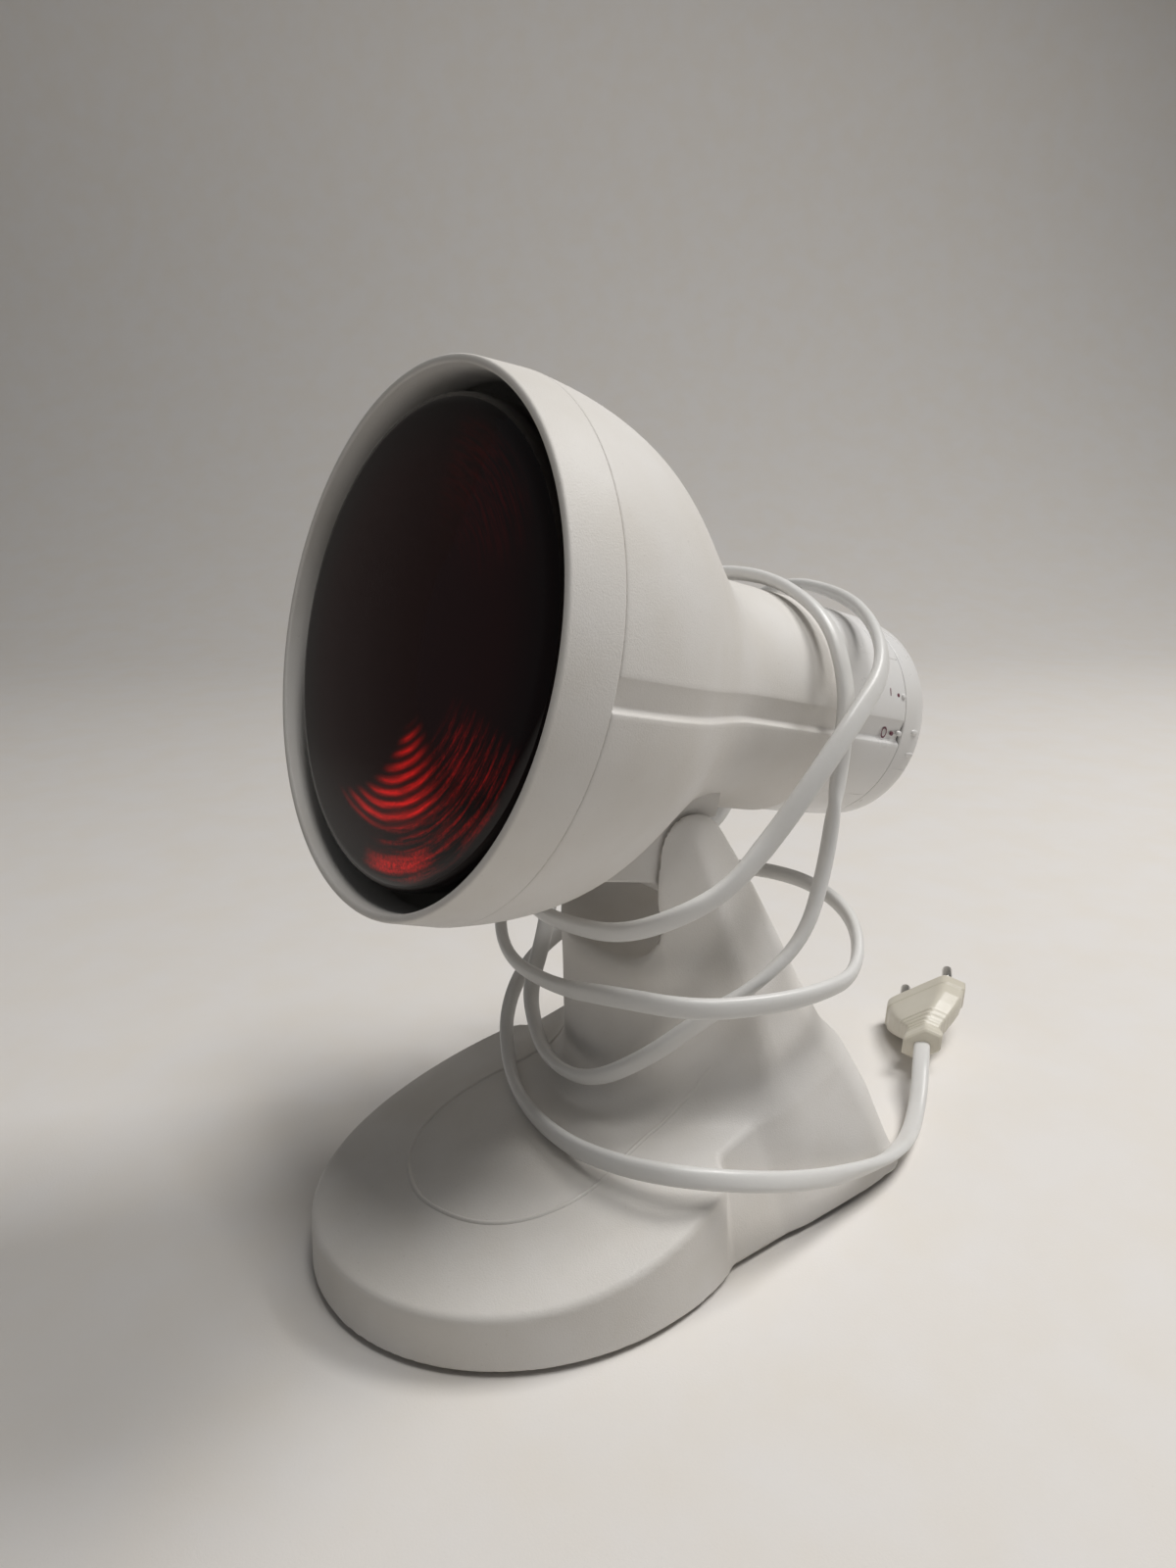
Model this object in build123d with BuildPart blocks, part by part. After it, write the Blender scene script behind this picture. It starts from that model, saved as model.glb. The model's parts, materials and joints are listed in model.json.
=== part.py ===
from build123d import *
from math import cos, radians, sin, sqrt, tan
import os

# Infrared heat therapy lamp: a bell hood with a reflector bulb tilts in a fork on a weighted
# foot, and a rotary switch closes the rear of the hood.
# Millimetres. The origin is on the floor, in the middle of the lamp's box without its lead.
# +Z is up, the lamp shines towards -Y, and +X is on the right of somebody who looks into it.

# ---------------------------------------------------------------- foot
LOBE_Y = -32.75  # middle of the oval lobe
LOBE_HALF_WIDTH = 61.4
LOBE_HALF_LENGTH = 69.9
LOBE_DRAFT = 3.5  # degrees
LOBE_REAR = -4.5  # the lobe's wall turns in here, to the narrower skirt
LOBE_CORNER = 5.0
CROWN_HEIGHT = 32.9  # of the crowned top, over the middle of the lobe
CROWN_SLOPE = 12.8  # degrees, rising to the rear
CROWN_RADIUS = 209.0
FLOOR_GAP = 1.8  # between the floor and the shell's rim
FOOT_WALL = 2.8

PYLON_HALF_WIDTH = 56.0  # at the floor
PYLON_SIDE_LEAN = 13.77  # degrees
PYLON_REAR = 76.55  # at the floor
PYLON_REAR_LEAN = 26.15  # degrees
PYLON_CORNER = 9.5
NOSE_Y = -7.5
NOSE_HALF_WIDTH = 23.5
NOSE_BULGE = 5.5
NOSE_ROUND = 3.0
NOSE_MARGIN = 1.0  # between the nose and the side, where the pylon is narrow
FLANK_HOLLOW = 0.05  # sagitta of the flank, as a share of its length
ARRIS_Y = 19.5  # edge between flank and side, up to ARRIS_KNEE
ARRIS_KNEE = 55.0
ARRIS_LEAN = 12.4  # degrees, above the knee

PLATE_THICKNESS = 2.0
PLATE_RECESS = 0.6  # plate above the shell's rim
PLATE_CLEARANCE = 0.3
BALLAST_HALF_WIDTH = 42.0
BALLAST_HALF_LENGTH = 48.0
BALLAST_HEIGHT = 11.0
BALLAST_ROUND = 2.0
PAD_RADIUS = 6.0
PAD_SEAT = 0.8  # depth of each rubber foot in the plate
PAD_CHAMFER = 0.6
PAD_PLACES = [(-37, -70), (37, -70), (-42, 60), (42, 60)]
SCREW_PLACES = [(-49.5, -33), (49.5, -33), (-47, 40), (47, 40)]
BOSS_RADIUS = 4.0
SCREW_RADIUS = 1.5
SCREW_HEAD_RADIUS = 2.8
SCREW_HEAD_HEIGHT = 1.3
SCREW_LENGTH = 9.0

# ---------------------------------------------------------------- tilting fork
PIVOT_Y = 4.55
PIVOT_Z = 114.7
LUG_RADIUS = 12.7
SLOT_HALF_WIDTH = 23.0
SLOT_FLOOR = 84.0
SLOT_CORNER = 10.0
TONGUE_CLEARANCE = 0.5  # on each side of the tongue
PIN_RADIUS = 4.0
PIN_CLEARANCE = 0.05
PIN_INNER_X = 9.0
BUSH_RADIUS = 5.5
BUSH_LENGTH = 2.4
BORE_END_GAP = 0.2
WASHER_RADIUS = 9.5
WASHER_THICKNESS = 1.0
WASHER_CLEARANCE = 0.1  # to the lug

# ---------------------------------------------------------------- head, along the lamp's axis
LENS_RADIUS = 60.2  # of the reflector bulb
REST_TILT = 14.69  # degrees, front up
PIVOT_DEPTH = 88.8  # the pivot behind the rim
PIVOT_DROP = 45.0  # the pivot below the axis
RIM_GAP = 5.6  # between the bulb's glass and the ring round it
RING_SWELL = 1.2  # the ring is that much wider at its seam
RIM_CHAMFER = 0.8
RING_DEPTH = 13.8
SHOULDER_RADIUS = 76.0
FLARE_ANGLE = 34.5  # degrees between the straight flare and the axis
NECK_RADIUS = 34.2
NECK_FILLET = 14.0
HOOD_REAR = 127.8
HOOD_WALL = 2.2
SPIGOT_LENGTH = 7.0
SPIGOT_WALL = 1.8
FIT_GAP = 0.1  # between a spigot and the wall round it
GROOVE_WIDTH = 7.5
GROOVE_DEPTH = 1.2
GROOVE_DROP = 0.4  # the middle of the groove, and the split line, below the axis

TONGUE_BOTTOM = 53.4  # below the axis
TONGUE_FRONT = 50.0
TONGUE_REAR = 97.9
TONGUE_LEDGE = 32.0
TONGUE_ROOT = 20.0
TONGUE_WALL = 3.2
BARREL_RADIUS = 12.4
BARREL_BOSS_RADIUS = 7.5

REAR_RADIUS = 33.4
REAR_END = 158.8
PARTITION_DEPTH = 154.8
PARTITION_THICKNESS = 2.0
CAP_GAP = 0.4
CAP_END = 170.8
CAP_RADIUS = 33.0
CAP_ROUND = 3.0
HUB_RADIUS = 6.5
SPINDLE_RADIUS = 3.0
SPINDLE_CLEARANCE = 0.05
SPINDLE_FRONT = 148.0
SPINDLE_HOLE_RADIUS = 4.0
SWITCH_RADIUS = 15.0
SWITCH_FRONT = 146.6

HOLDER_RADIUS = 23.0
HOLDER_FRONT = 103.0
HOLDER_REAR = 143.0
HOLDER_FLOOR = 138.5
SLEEVE_WALL = 0.7
SLEEVE_FRONT = 105.0
THREAD_RADIUS = 13.1  # E27
THREAD_CLEARANCE = 0.15
CONTACT_RADIUS = 4.5
CONTACT_THICKNESS = 1.0
BRACKET_RADIUS = 29.6
BRACKET_WIDTH = 16.0
BRACKET_HOLE = 7.0
BRACKET_THICKNESS = 1.2
POST_X = 26.0
POST_RADIUS = 3.4
POST_SCREW_LENGTH = 8.0
POST_SCREW_HEAD_RADIUS = 2.6

LENS_FRONT = 1.0  # of the glass, behind the rim plane
LENS_SAGITTA = 3.5
LENS_EDGE_ROUND = 4.5
LENS_REAR = 14.0
LENS_WALL = 3.0
GLASS_WALL = 2.0
REFLECTOR_FORM = [(35, 51.4), (58, 40), (80, 25.8), (94, 16.2), (102, 13.1), (111, 12.5)]  # depth, radius
CAP_FRONT = 111.0
CAP_REAR = 133.0
CAP_WALL = 0.6
CAP_SEAT = 2.0
FILAMENT_DEPTH = 46.0
FILAMENT_RING = 10.0
FILAMENT_WIRE = 1.0
STEM_RADIUS = 5.0
STEM_FRONT = 74.0
STEM_DISC = 2.0
SUPPORT_RADIUS = 0.8

CLAMP_DEPTH = 113.0
CLAMP_ANGLE = -155.0  # degrees about the axis, 0 at +X and 90 on top
CLAMP_RADIUS = 5.0
CLAMP_COLLAR_RADIUS = 6.6
CLAMP_INNER = 27.5  # from the axis
CLAMP_SHANK = 10.0  # length of the straight part, through the wall
CLAMP_COLLAR_HEIGHT = 2.0
RELIEF_LENGTH = 22.5  # of the tapered sleeve, beyond the straight part
RELIEF_TAPER = 3.6  # degrees
LEAD_RADIUS = 1.1
LEAD_TRACK = 25.0  # of the inner leads, from the axis
LEAD_BEND = 1.8
LEAD_SPREAD = 2.8  # degrees
LEAD_TERMINAL = 133.0  # depth of the holder's screws
SWITCHED_ANGLE = -95.0

# ---------------------------------------------------------------- mains lead and plug
CORD_RADIUS = 2.6  # of the flat lead's round stand-in
CORD_ARC = 0.45  # each arc takes that share of its shorter run
CORD_STUB = 10.5  # straight run at each end
# Between its straight ends, the lead is wound round the neck and the foot.
CORD_ROUTE = [
    (-72.6, 27.6, 110.6), (-73.2, 23.4, 92.6), (-64.6, 17.8, 75.2), (-54.3, 7.4, 61.7),
    (-43.9, -6.2, 50.4), (-27, -16, 46.9), (-8, -23.5, 44.6),
    (12.9, -23.3, 47.5), (27.8, -13.1, 59.3), (37.5, -2.3, 71.6), (45.2, 12.3, 81.3),
    (48.5, 26.7, 92.6), (46.1, 36.2, 110.3), (43.9, 41.6, 128.4), (42.7, 45.2, 146.5),
    (40.2, 48.1, 163), (27.5, 52.1, 180.1), (-0.1, 52.1, 189.7), (-26.9, 39.2, 186.2),
    (-44, 25.1, 172.4), (-51, 17, 150.3), (-50.8, 8.7, 127.1), (-44.4, -4.5, 107.2),
    (-30.2, -19.2, 95), (-9.7, -26.3, 95.6), (10.3, -27.5, 97.9), (27.8, -23.3, 99.8),
    (39.2, -12.6, 105.9), (43.7, 1.1, 111.8), (46.5, 13.5, 124), (50.3, 25.9, 140.3),
    (50.9, 40.6, 155.3), (45.2, 58.4, 165.2), (29.8, 71.5, 174.9), (9.8, 80.7, 180.8),
    (-14.2, 80, 183.8), (-35.5, 78.4, 171.9), (-47.1, 82.2, 148.4), (-48.6, 92, 122.2),
    (-42.1, 85.3, 96.7), (-41.4, 60.6, 85.1), (-43.3, 33.3, 90.4), (-45.9, 6.9, 96.9),
    (-39.6, -18.3, 93.1), (-21.3, -31.4, 79), (3.4, -29.4, 76.7), (25.8, -23.5, 80.8),
    (44.3, -11.9, 80.6), (51.7, 6.2, 79.1), (53.9, 26.8, 77), (50.6, 48.3, 75.2),
    (36.3, 64.3, 83.1), (14.5, 69.8, 87.3), (-8.5, 66.8, 86.8), (-30.4, 58, 83.3),
    (-47.7, 43.1, 74.3), (-58.1, 23.7, 62.8), (-58.5, 2.1, 51.9), (-45.5, -15.4, 43.3),
    (-26.2, -26.7, 35.7), (-5.3, -35, 35.8), (17, -36.4, 35.3), (37.7, -32.1, 37.4),
    (55, -21.9, 38.9), (63.2, -3.4, 34), (62.8, 19, 24.4), (60.4, 40, 16.4),
    (58.2, 58.5, 11.4), (54, 72.5, 8.6), (48, 84.3, 4.8), (42.4, 94.4, 4.8),
    (36.4, 104.2, 8.2),
]
PLUG_ENTRY = (23.4, 122.2, 12.7)
PLUG_YAW = 125.2  # degrees from +X, the way the pins point
PLUG_ROLL = 34.0  # degrees, its right edge up
# Depth, half width and half height of the plug's grip, from its collar to its front band.
PLUG_SECTIONS = [(3, 8.5, 5.0), (8, 6.5, 4.4), (18, 12.5, 5.8), (29, 16.8, 6.4)]
PLUG_BEVEL = 0.75  # width of the section's bevel, as a share of its half height
PLUG_HALF_WIDTH = 17.65
PLUG_HALF_HEIGHT = 6.85
PLUG_BAND = 31.0  # depth where the front band starts
PLUG_LENGTH = 38.0
PLUG_ROUND = 1.0
PIN_SPACING = 19.0
PLUG_PIN_RADIUS = 2.0
PLUG_PIN_LENGTH = 19.0
PLUG_PIN_ROOT_RADIUS = 1.6
PLUG_PIN_ROOT = 8.0  # inside the body
PLUG_PIN_CHAMFER = 0.8

# ---------------------------------------------------------------- frames and places
rim_radius = LENS_RADIUS + RIM_GAP + HOOD_WALL
seam_radius = rim_radius + RING_SWELL
axis = Vector(0, cos(radians(REST_TILT)), -sin(radians(REST_TILT)))
head_up = Vector(0, sin(radians(REST_TILT)), cos(radians(REST_TILT)))
pivot = Vector(0, PIVOT_Y, PIVOT_Z)
rim_centre = pivot - axis * PIVOT_DEPTH + head_up * PIVOT_DROP
head_axis = Axis(rim_centre, axis)
# In the head's section, x is the depth behind the rim and y is up.
head_section = Plane(rim_centre, x_dir=axis, z_dir=(1, 0, 0))
split_plane = Plane(rim_centre - head_up * GROOVE_DROP, x_dir=(1, 0, 0), z_dir=head_up)
plate_bottom = FLOOR_GAP + PLATE_RECESS
plate_top = plate_bottom + PLATE_THICKNESS
tongue_half_width = SLOT_HALF_WIDTH - TONGUE_CLEARANCE
washer_outer_x = SLOT_HALF_WIDTH - WASHER_CLEARANCE
washer_inner_x = washer_outer_x - WASHER_THICKNESS
cap_front = REAR_END + CAP_GAP
bracket_rear = HOLDER_REAR + BRACKET_THICKNESS
switch_middle = (SWITCH_FRONT + PARTITION_DEPTH) / 2


def at_head(depth, radius, angle):
    """The point at that depth, radius and angle on the head, 0 at +X and 90 degrees on top."""
    side = Vector(1, 0, 0) * radius * cos(radians(angle))
    return rim_centre + axis * depth + side + head_up * radius * sin(radians(angle))


def across_head(depth):
    """The plane across the head at that depth, facing the rear, with y up."""
    return Plane(rim_centre + axis * depth, x_dir=(-1, 0, 0), z_dir=axis)


clamp_out = at_head(0, 1, CLAMP_ANGLE) - rim_centre
clamp_plane = Plane(at_head(CLAMP_DEPTH, CLAMP_INNER, CLAMP_ANGLE), x_dir=axis, z_dir=clamp_out)


def crown_at(x, y):
    """Height of the foot's crowned top."""
    sag = CROWN_RADIUS - sqrt(CROWN_RADIUS**2 - x**2)
    return CROWN_HEIGHT + (y - LOBE_Y) * tan(radians(CROWN_SLOPE)) - sag / cos(radians(CROWN_SLOPE))


def side_at(z):
    """Half the pylon's width at that height."""
    return PYLON_HALF_WIDTH - z * tan(radians(PYLON_SIDE_LEAN))


def rear_at(z):
    """The pylon's rear face at that height."""
    return PYLON_REAR - z * tan(radians(PYLON_REAR_LEAN))


def save(builder, name):
    """Label a finished piece and write it."""
    builder.part.label = name
    export_step(builder.part, f"parts/{name}.step")


def revolved(*profile):
    """A piece turned about the head's axis from (depth, radius) corners."""
    with BuildPart() as turned:
        with BuildSketch(head_section):
            with BuildLine():
                Polyline(*profile, close=True)
            make_face()
        revolve(axis=head_axis)
    return turned


# ---------------------------------------------------------------- foot
def foot_body(inset):
    """The foot as a solid, with its walls moved inwards."""
    crown = Plane(
        (0, LOBE_Y, CROWN_HEIGHT - inset),
        x_dir=(-1, 0, 0),
        z_dir=(0, cos(radians(CROWN_SLOPE)), sin(radians(CROWN_SLOPE))),
    )
    skirt_top = crown_at(0, rear_at(CROWN_HEIGHT))
    with BuildPart() as lower:
        with BuildSketch(Plane.XY.offset(FLOOR_GAP)) as lobe:
            with Locations((0, LOBE_Y)):
                Ellipse(LOBE_HALF_WIDTH - inset, LOBE_HALF_LENGTH - inset)
            with Locations((0, LOBE_REAR - inset)):
                Rectangle(
                    2 * LOBE_HALF_WIDTH,
                    2 * LOBE_HALF_LENGTH,
                    align=(Align.CENTER, Align.MIN),
                    mode=Mode.SUBTRACT,
                )
            fillet(lobe.vertices().group_by(Axis.Y)[-1], LOBE_CORNER)
        extrude(amount=crown_at(0, LOBE_REAR), taper=LOBE_DRAFT)
        for z in (FLOOR_GAP, skirt_top):
            with BuildSketch(Plane.XY.offset(z)) as skirt:
                with Locations((0, rear_at(z) - inset)):
                    Rectangle(
                        2 * (side_at(z) - inset),
                        rear_at(z) - LOBE_REAR + LOBE_CORNER,
                        align=(Align.CENTER, Align.MAX),
                    )
                fillet(skirt.vertices().group_by(Axis.Y)[-1], PYLON_CORNER - inset)
        loft(ruled=True)
        with BuildSketch(crown):
            with Locations((0, -CROWN_RADIUS)):
                Circle(CROWN_RADIUS)
        extrude(amount=2 * LOBE_HALF_LENGTH, both=True, mode=Mode.INTERSECT)

    top = PIVOT_Z + LUG_RADIUS
    with BuildPart() as foot:
        for z in (FLOOR_GAP, ARRIS_KNEE, top):
            arris_y = ARRIS_Y - max(0, z - ARRIS_KNEE) * tan(radians(ARRIS_LEAN))
            side = side_at(z) - inset
            nose_y = NOSE_Y + inset
            nose_x = min(NOSE_HALF_WIDTH, side_at(z) - NOSE_MARGIN) - inset
            with BuildSketch(Plane.XY.offset(z)) as outline:
                with BuildLine():
                    nose = ThreePointArc((-nose_x, nose_y), (0, nose_y - NOSE_BULGE), (nose_x, nose_y))
                    flank_length = sqrt((side - nose_x) ** 2 + (arris_y - nose_y) ** 2)
                    flank = SagittaArc(nose @ 1, (side, arris_y), -FLANK_HOLLOW * flank_length)
                    rear = rear_at(z) - inset
                    Polyline(flank @ 1, (side, rear), (-side, rear), (-side, arris_y))
                    SagittaArc((-side, arris_y), nose @ 0, -FLANK_HOLLOW * flank_length)
                make_face()
                corners = outline.vertices().sort_by(Axis.Y)
                fillet(corners[0:2], NOSE_ROUND)
                fillet(outline.vertices().group_by(Axis.Y)[-1], PYLON_CORNER - inset)
        loft(ruled=True)
        with BuildSketch(Plane.YZ):
            with Locations((PIVOT_Y, PIVOT_Z)):
                Circle(LUG_RADIUS - inset)
            with BuildLine():
                Polyline(
                    (NOSE_Y - NOSE_BULGE, FLOOR_GAP),
                    (rear_at(FLOOR_GAP) - inset, FLOOR_GAP),
                    (rear_at(SLOT_FLOOR) - inset, SLOT_FLOOR),
                    (NOSE_Y - NOSE_BULGE, SLOT_FLOOR),
                    close=True,
                )
            make_face()
            make_hull()
        extrude(amount=PYLON_HALF_WIDTH, both=True, mode=Mode.INTERSECT)
        add(lower.part)
    return foot.part


with BuildPart() as hollow:
    add(foot_body(FOOT_WALL))
    # The hollow ends below the slot of the fork.
    split(bisect_by=Plane.XY.offset(SLOT_FLOOR - 2 * FOOT_WALL), keep=Keep.BOTTOM)

with BuildPart() as base_shell:
    add(foot_body(0))
    add(hollow.part, mode=Mode.SUBTRACT)
    with BuildSketch(Plane.XZ.offset(-rear_at(0))):
        with Locations((0, SLOT_FLOOR)):
            RectangleRounded(
                2 * SLOT_HALF_WIDTH,
                4 * SLOT_CORNER + 2 * LUG_RADIUS,
                SLOT_CORNER,
                align=(Align.CENTER, Align.MIN),
            )
    extrude(amount=2 * rear_at(0), mode=Mode.SUBTRACT)
    for side in (-1, 1):
        with BuildSketch(Plane((side * SLOT_HALF_WIDTH, PIVOT_Y, PIVOT_Z), z_dir=(side, 0, 0))):
            Circle(BUSH_RADIUS)
        extrude(amount=BUSH_LENGTH + BORE_END_GAP, mode=Mode.SUBTRACT)
    for x, y in SCREW_PLACES:
        if y < LOBE_REAR:
            boss_top = crown_at(x, y) - FOOT_WALL / 2  # up to the roof of the lobe
        else:
            boss_top = plate_top + SCREW_LENGTH + FOOT_WALL  # a short post on the side wall
        with BuildSketch(Plane.XY.offset(plate_top)):
            with Locations((x, y)):
                Circle(BOSS_RADIUS)
        extrude(amount=boss_top - plate_top)
        with BuildSketch(Plane.XY.offset(plate_top)):
            with Locations((x, y)):
                Circle(SCREW_RADIUS)
        extrude(amount=SCREW_LENGTH, mode=Mode.SUBTRACT)
save(base_shell, "base_shell")

with BuildPart() as bottom_plate:
    add(foot_body(FOOT_WALL + PLATE_CLEARANCE))
    split(bisect_by=Plane.XY.offset(plate_top), keep=Keep.BOTTOM)
    split(bisect_by=Plane.XY.offset(plate_bottom), keep=Keep.TOP)
    with BuildSketch(Plane.XY.offset(plate_bottom)):
        with Locations(*PAD_PLACES):
            Circle(PAD_RADIUS)
    extrude(amount=PAD_SEAT, mode=Mode.SUBTRACT)
    with Locations(*[(x, y, plate_bottom) for x, y in SCREW_PLACES]):
        Cylinder(
            SCREW_HEAD_RADIUS,
            SCREW_HEAD_HEIGHT,
            align=(Align.CENTER, Align.CENTER, Align.MIN),
            mode=Mode.SUBTRACT,
        )
        Cylinder(
            SCREW_RADIUS,
            PLATE_THICKNESS,
            align=(Align.CENTER, Align.CENTER, Align.MIN),
            mode=Mode.SUBTRACT,
        )
save(bottom_plate, "bottom_plate")

with BuildPart() as ballast_weight:
    with BuildSketch(Plane.XY.offset(plate_top)):
        with Locations((0, LOBE_Y)):
            Ellipse(BALLAST_HALF_WIDTH, BALLAST_HALF_LENGTH)
    extrude(amount=BALLAST_HEIGHT)
    fillet(ballast_weight.edges().group_by(Axis.Z)[-1], BALLAST_ROUND)
save(ballast_weight, "ballast_weight")

with BuildPart() as rubber_feet:
    with BuildSketch():
        with Locations(*PAD_PLACES):
            Circle(PAD_RADIUS)
    extrude(amount=plate_bottom + PAD_SEAT)
    chamfer(rubber_feet.edges().group_by(Axis.Z)[0], PAD_CHAMFER)
save(rubber_feet, "rubber_feet")

with BuildPart() as base_screws:
    with BuildSketch(Plane.XY.offset(plate_bottom)):
        with Locations(*SCREW_PLACES):
            Circle(SCREW_HEAD_RADIUS)
    extrude(amount=SCREW_HEAD_HEIGHT)
    with BuildSketch(Plane.XY.offset(plate_bottom)):
        with Locations(*SCREW_PLACES):
            Circle(SCREW_RADIUS)
    extrude(amount=PLATE_THICKNESS + SCREW_LENGTH)
save(base_screws, "base_screws")

# ---------------------------------------------------------------- fork fittings
with BuildPart() as tilt_bushes:
    for side in (-1, 1):
        with BuildSketch(Plane((side * SLOT_HALF_WIDTH, PIVOT_Y, PIVOT_Z), z_dir=(side, 0, 0))):
            Circle(BUSH_RADIUS)
            Circle(PIN_RADIUS + PIN_CLEARANCE, mode=Mode.SUBTRACT)
        extrude(amount=BUSH_LENGTH)
save(tilt_bushes, "tilt_bushes")

with BuildPart() as tilt_pins:
    for side in (-1, 1):
        with BuildSketch(Plane((side * PIN_INNER_X, PIVOT_Y, PIVOT_Z), z_dir=(side, 0, 0))):
            Circle(PIN_RADIUS)
        extrude(amount=SLOT_HALF_WIDTH + BUSH_LENGTH - PIN_INNER_X)
save(tilt_pins, "tilt_pins")

with BuildPart() as tilt_washers:
    for side in (-1, 1):
        with BuildSketch(Plane((side * washer_inner_x, PIVOT_Y, PIVOT_Z), z_dir=(side, 0, 0))):
            Circle(WASHER_RADIUS)
            Circle(PIN_RADIUS + PIN_CLEARANCE, mode=Mode.SUBTRACT)
        extrude(amount=WASHER_THICKNESS)
save(tilt_washers, "tilt_washers")


# ---------------------------------------------------------------- hood
def hood_solid(inset):
    """All that the bell's skin encloses, with the skin moved inwards."""
    neck = NECK_RADIUS - inset
    with BuildPart() as solid:
        with BuildSketch(head_section):
            with BuildLine():
                shoulder = JernArc(
                    (RING_DEPTH, seam_radius - inset), (1, 0), SHOULDER_RADIUS - inset, -FLARE_ANGLE
                )
                flare_end = shoulder @ 1
                knee = flare_end.X + (flare_end.Y - neck) / tan(radians(FLARE_ANGLE))
                FilletPolyline(
                    flare_end, (knee, neck), (HOOD_REAR, neck), radius=NECK_FILLET + inset
                )
                Polyline((HOOD_REAR, neck), (HOOD_REAR, 0), (RING_DEPTH, 0), shoulder @ 0)
            make_face()
        revolve(axis=head_axis)
    return solid.part


# A cove runs along each side of the head, with the split between the halves in it.
with BuildPart() as coves:
    with BuildSketch(head_section):
        with Locations(((RING_DEPTH + REAR_END) / 2, -GROOVE_DROP)):
            Rectangle(REAR_END - RING_DEPTH, GROOVE_WIDTH)
    extrude(amount=seam_radius + HOOD_WALL, both=True)

with BuildPart() as hood:
    add(hood_solid(0))
    add(coves.part, mode=Mode.SUBTRACT)
    add(hood_solid(GROOVE_DEPTH))
    add(hood_solid(HOOD_WALL), mode=Mode.SUBTRACT)

with BuildPart() as hood_upper:
    add(hood.part)
    split(bisect_by=split_plane, keep=Keep.TOP)
save(hood_upper, "hood_upper")

with BuildPart() as tongue:
    with BuildSketch(head_section) as tongue_profile:
        with Locations((PIVOT_DEPTH, -PIVOT_DROP)):
            Circle(BARREL_RADIUS)
        with BuildLine():
            Polyline(
                (TONGUE_FRONT, -TONGUE_BOTTOM),
                (PIVOT_DEPTH, -TONGUE_BOTTOM),
                (PIVOT_DEPTH, -TONGUE_LEDGE),
                (TONGUE_REAR, -TONGUE_LEDGE),
                (TONGUE_REAR, -TONGUE_ROOT),
                (TONGUE_FRONT, -TONGUE_ROOT),
                close=True,
            )
        make_face()
    extrude(amount=tongue_half_width, both=True)
    add(hood_solid(HOOD_WALL), mode=Mode.SUBTRACT)

with BuildPart() as hood_lower:
    add(hood.part)
    split(bisect_by=split_plane, keep=Keep.BOTTOM)
    add(tongue.part)
    # The tongue is hollow and open to the inside of the bell.
    with BuildSketch(head_section):
        add(tongue_profile.sketch_local)
        offset(amount=-TONGUE_WALL)
    extrude(amount=tongue_half_width - TONGUE_WALL, both=True, mode=Mode.SUBTRACT)
    for side in (-1, 1):
        with BuildSketch(Plane((side * PIN_INNER_X, PIVOT_Y, PIVOT_Z), z_dir=(side, 0, 0))):
            Circle(BARREL_BOSS_RADIUS)
        extrude(amount=tongue_half_width - PIN_INNER_X)
        with BuildSketch(Plane((side * PIN_INNER_X, PIVOT_Y, PIVOT_Z), z_dir=(side, 0, 0))):
            Circle(PIN_RADIUS)
        extrude(amount=tongue_half_width - PIN_INNER_X, mode=Mode.SUBTRACT)
        with BuildSketch(Plane((side * washer_inner_x, PIVOT_Y, PIVOT_Z), z_dir=(side, 0, 0))):
            Circle(WASHER_RADIUS)
        extrude(amount=LUG_RADIUS, mode=Mode.SUBTRACT)
    with BuildSketch(clamp_plane):
        Circle(CLAMP_RADIUS)
    extrude(amount=CLAMP_SHANK, mode=Mode.SUBTRACT)
save(hood_lower, "hood_lower")

with BuildPart() as front_ring:
    # The spigot inside the hood follows the bell's inner wall.
    add(hood_solid(HOOD_WALL + FIT_GAP))
    add(hood_solid(HOOD_WALL + FIT_GAP + SPIGOT_WALL), mode=Mode.SUBTRACT)
    split(bisect_by=across_head(RING_DEPTH + SPIGOT_LENGTH), keep=Keep.BOTTOM)
    with BuildSketch(head_section):
        with BuildLine():
            Polyline(
                (0, rim_radius - RIM_CHAMFER),
                (RIM_CHAMFER, rim_radius),
                (RING_DEPTH, seam_radius),
                (RING_DEPTH, seam_radius - HOOD_WALL - FIT_GAP - SPIGOT_WALL),
                (RING_DEPTH - SPIGOT_WALL, seam_radius - HOOD_WALL - FIT_GAP - SPIGOT_WALL),
                (0, rim_radius - HOOD_WALL),
                close=True,
            )
        make_face()
    revolve(axis=head_axis)
save(front_ring, "front_ring")

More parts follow.
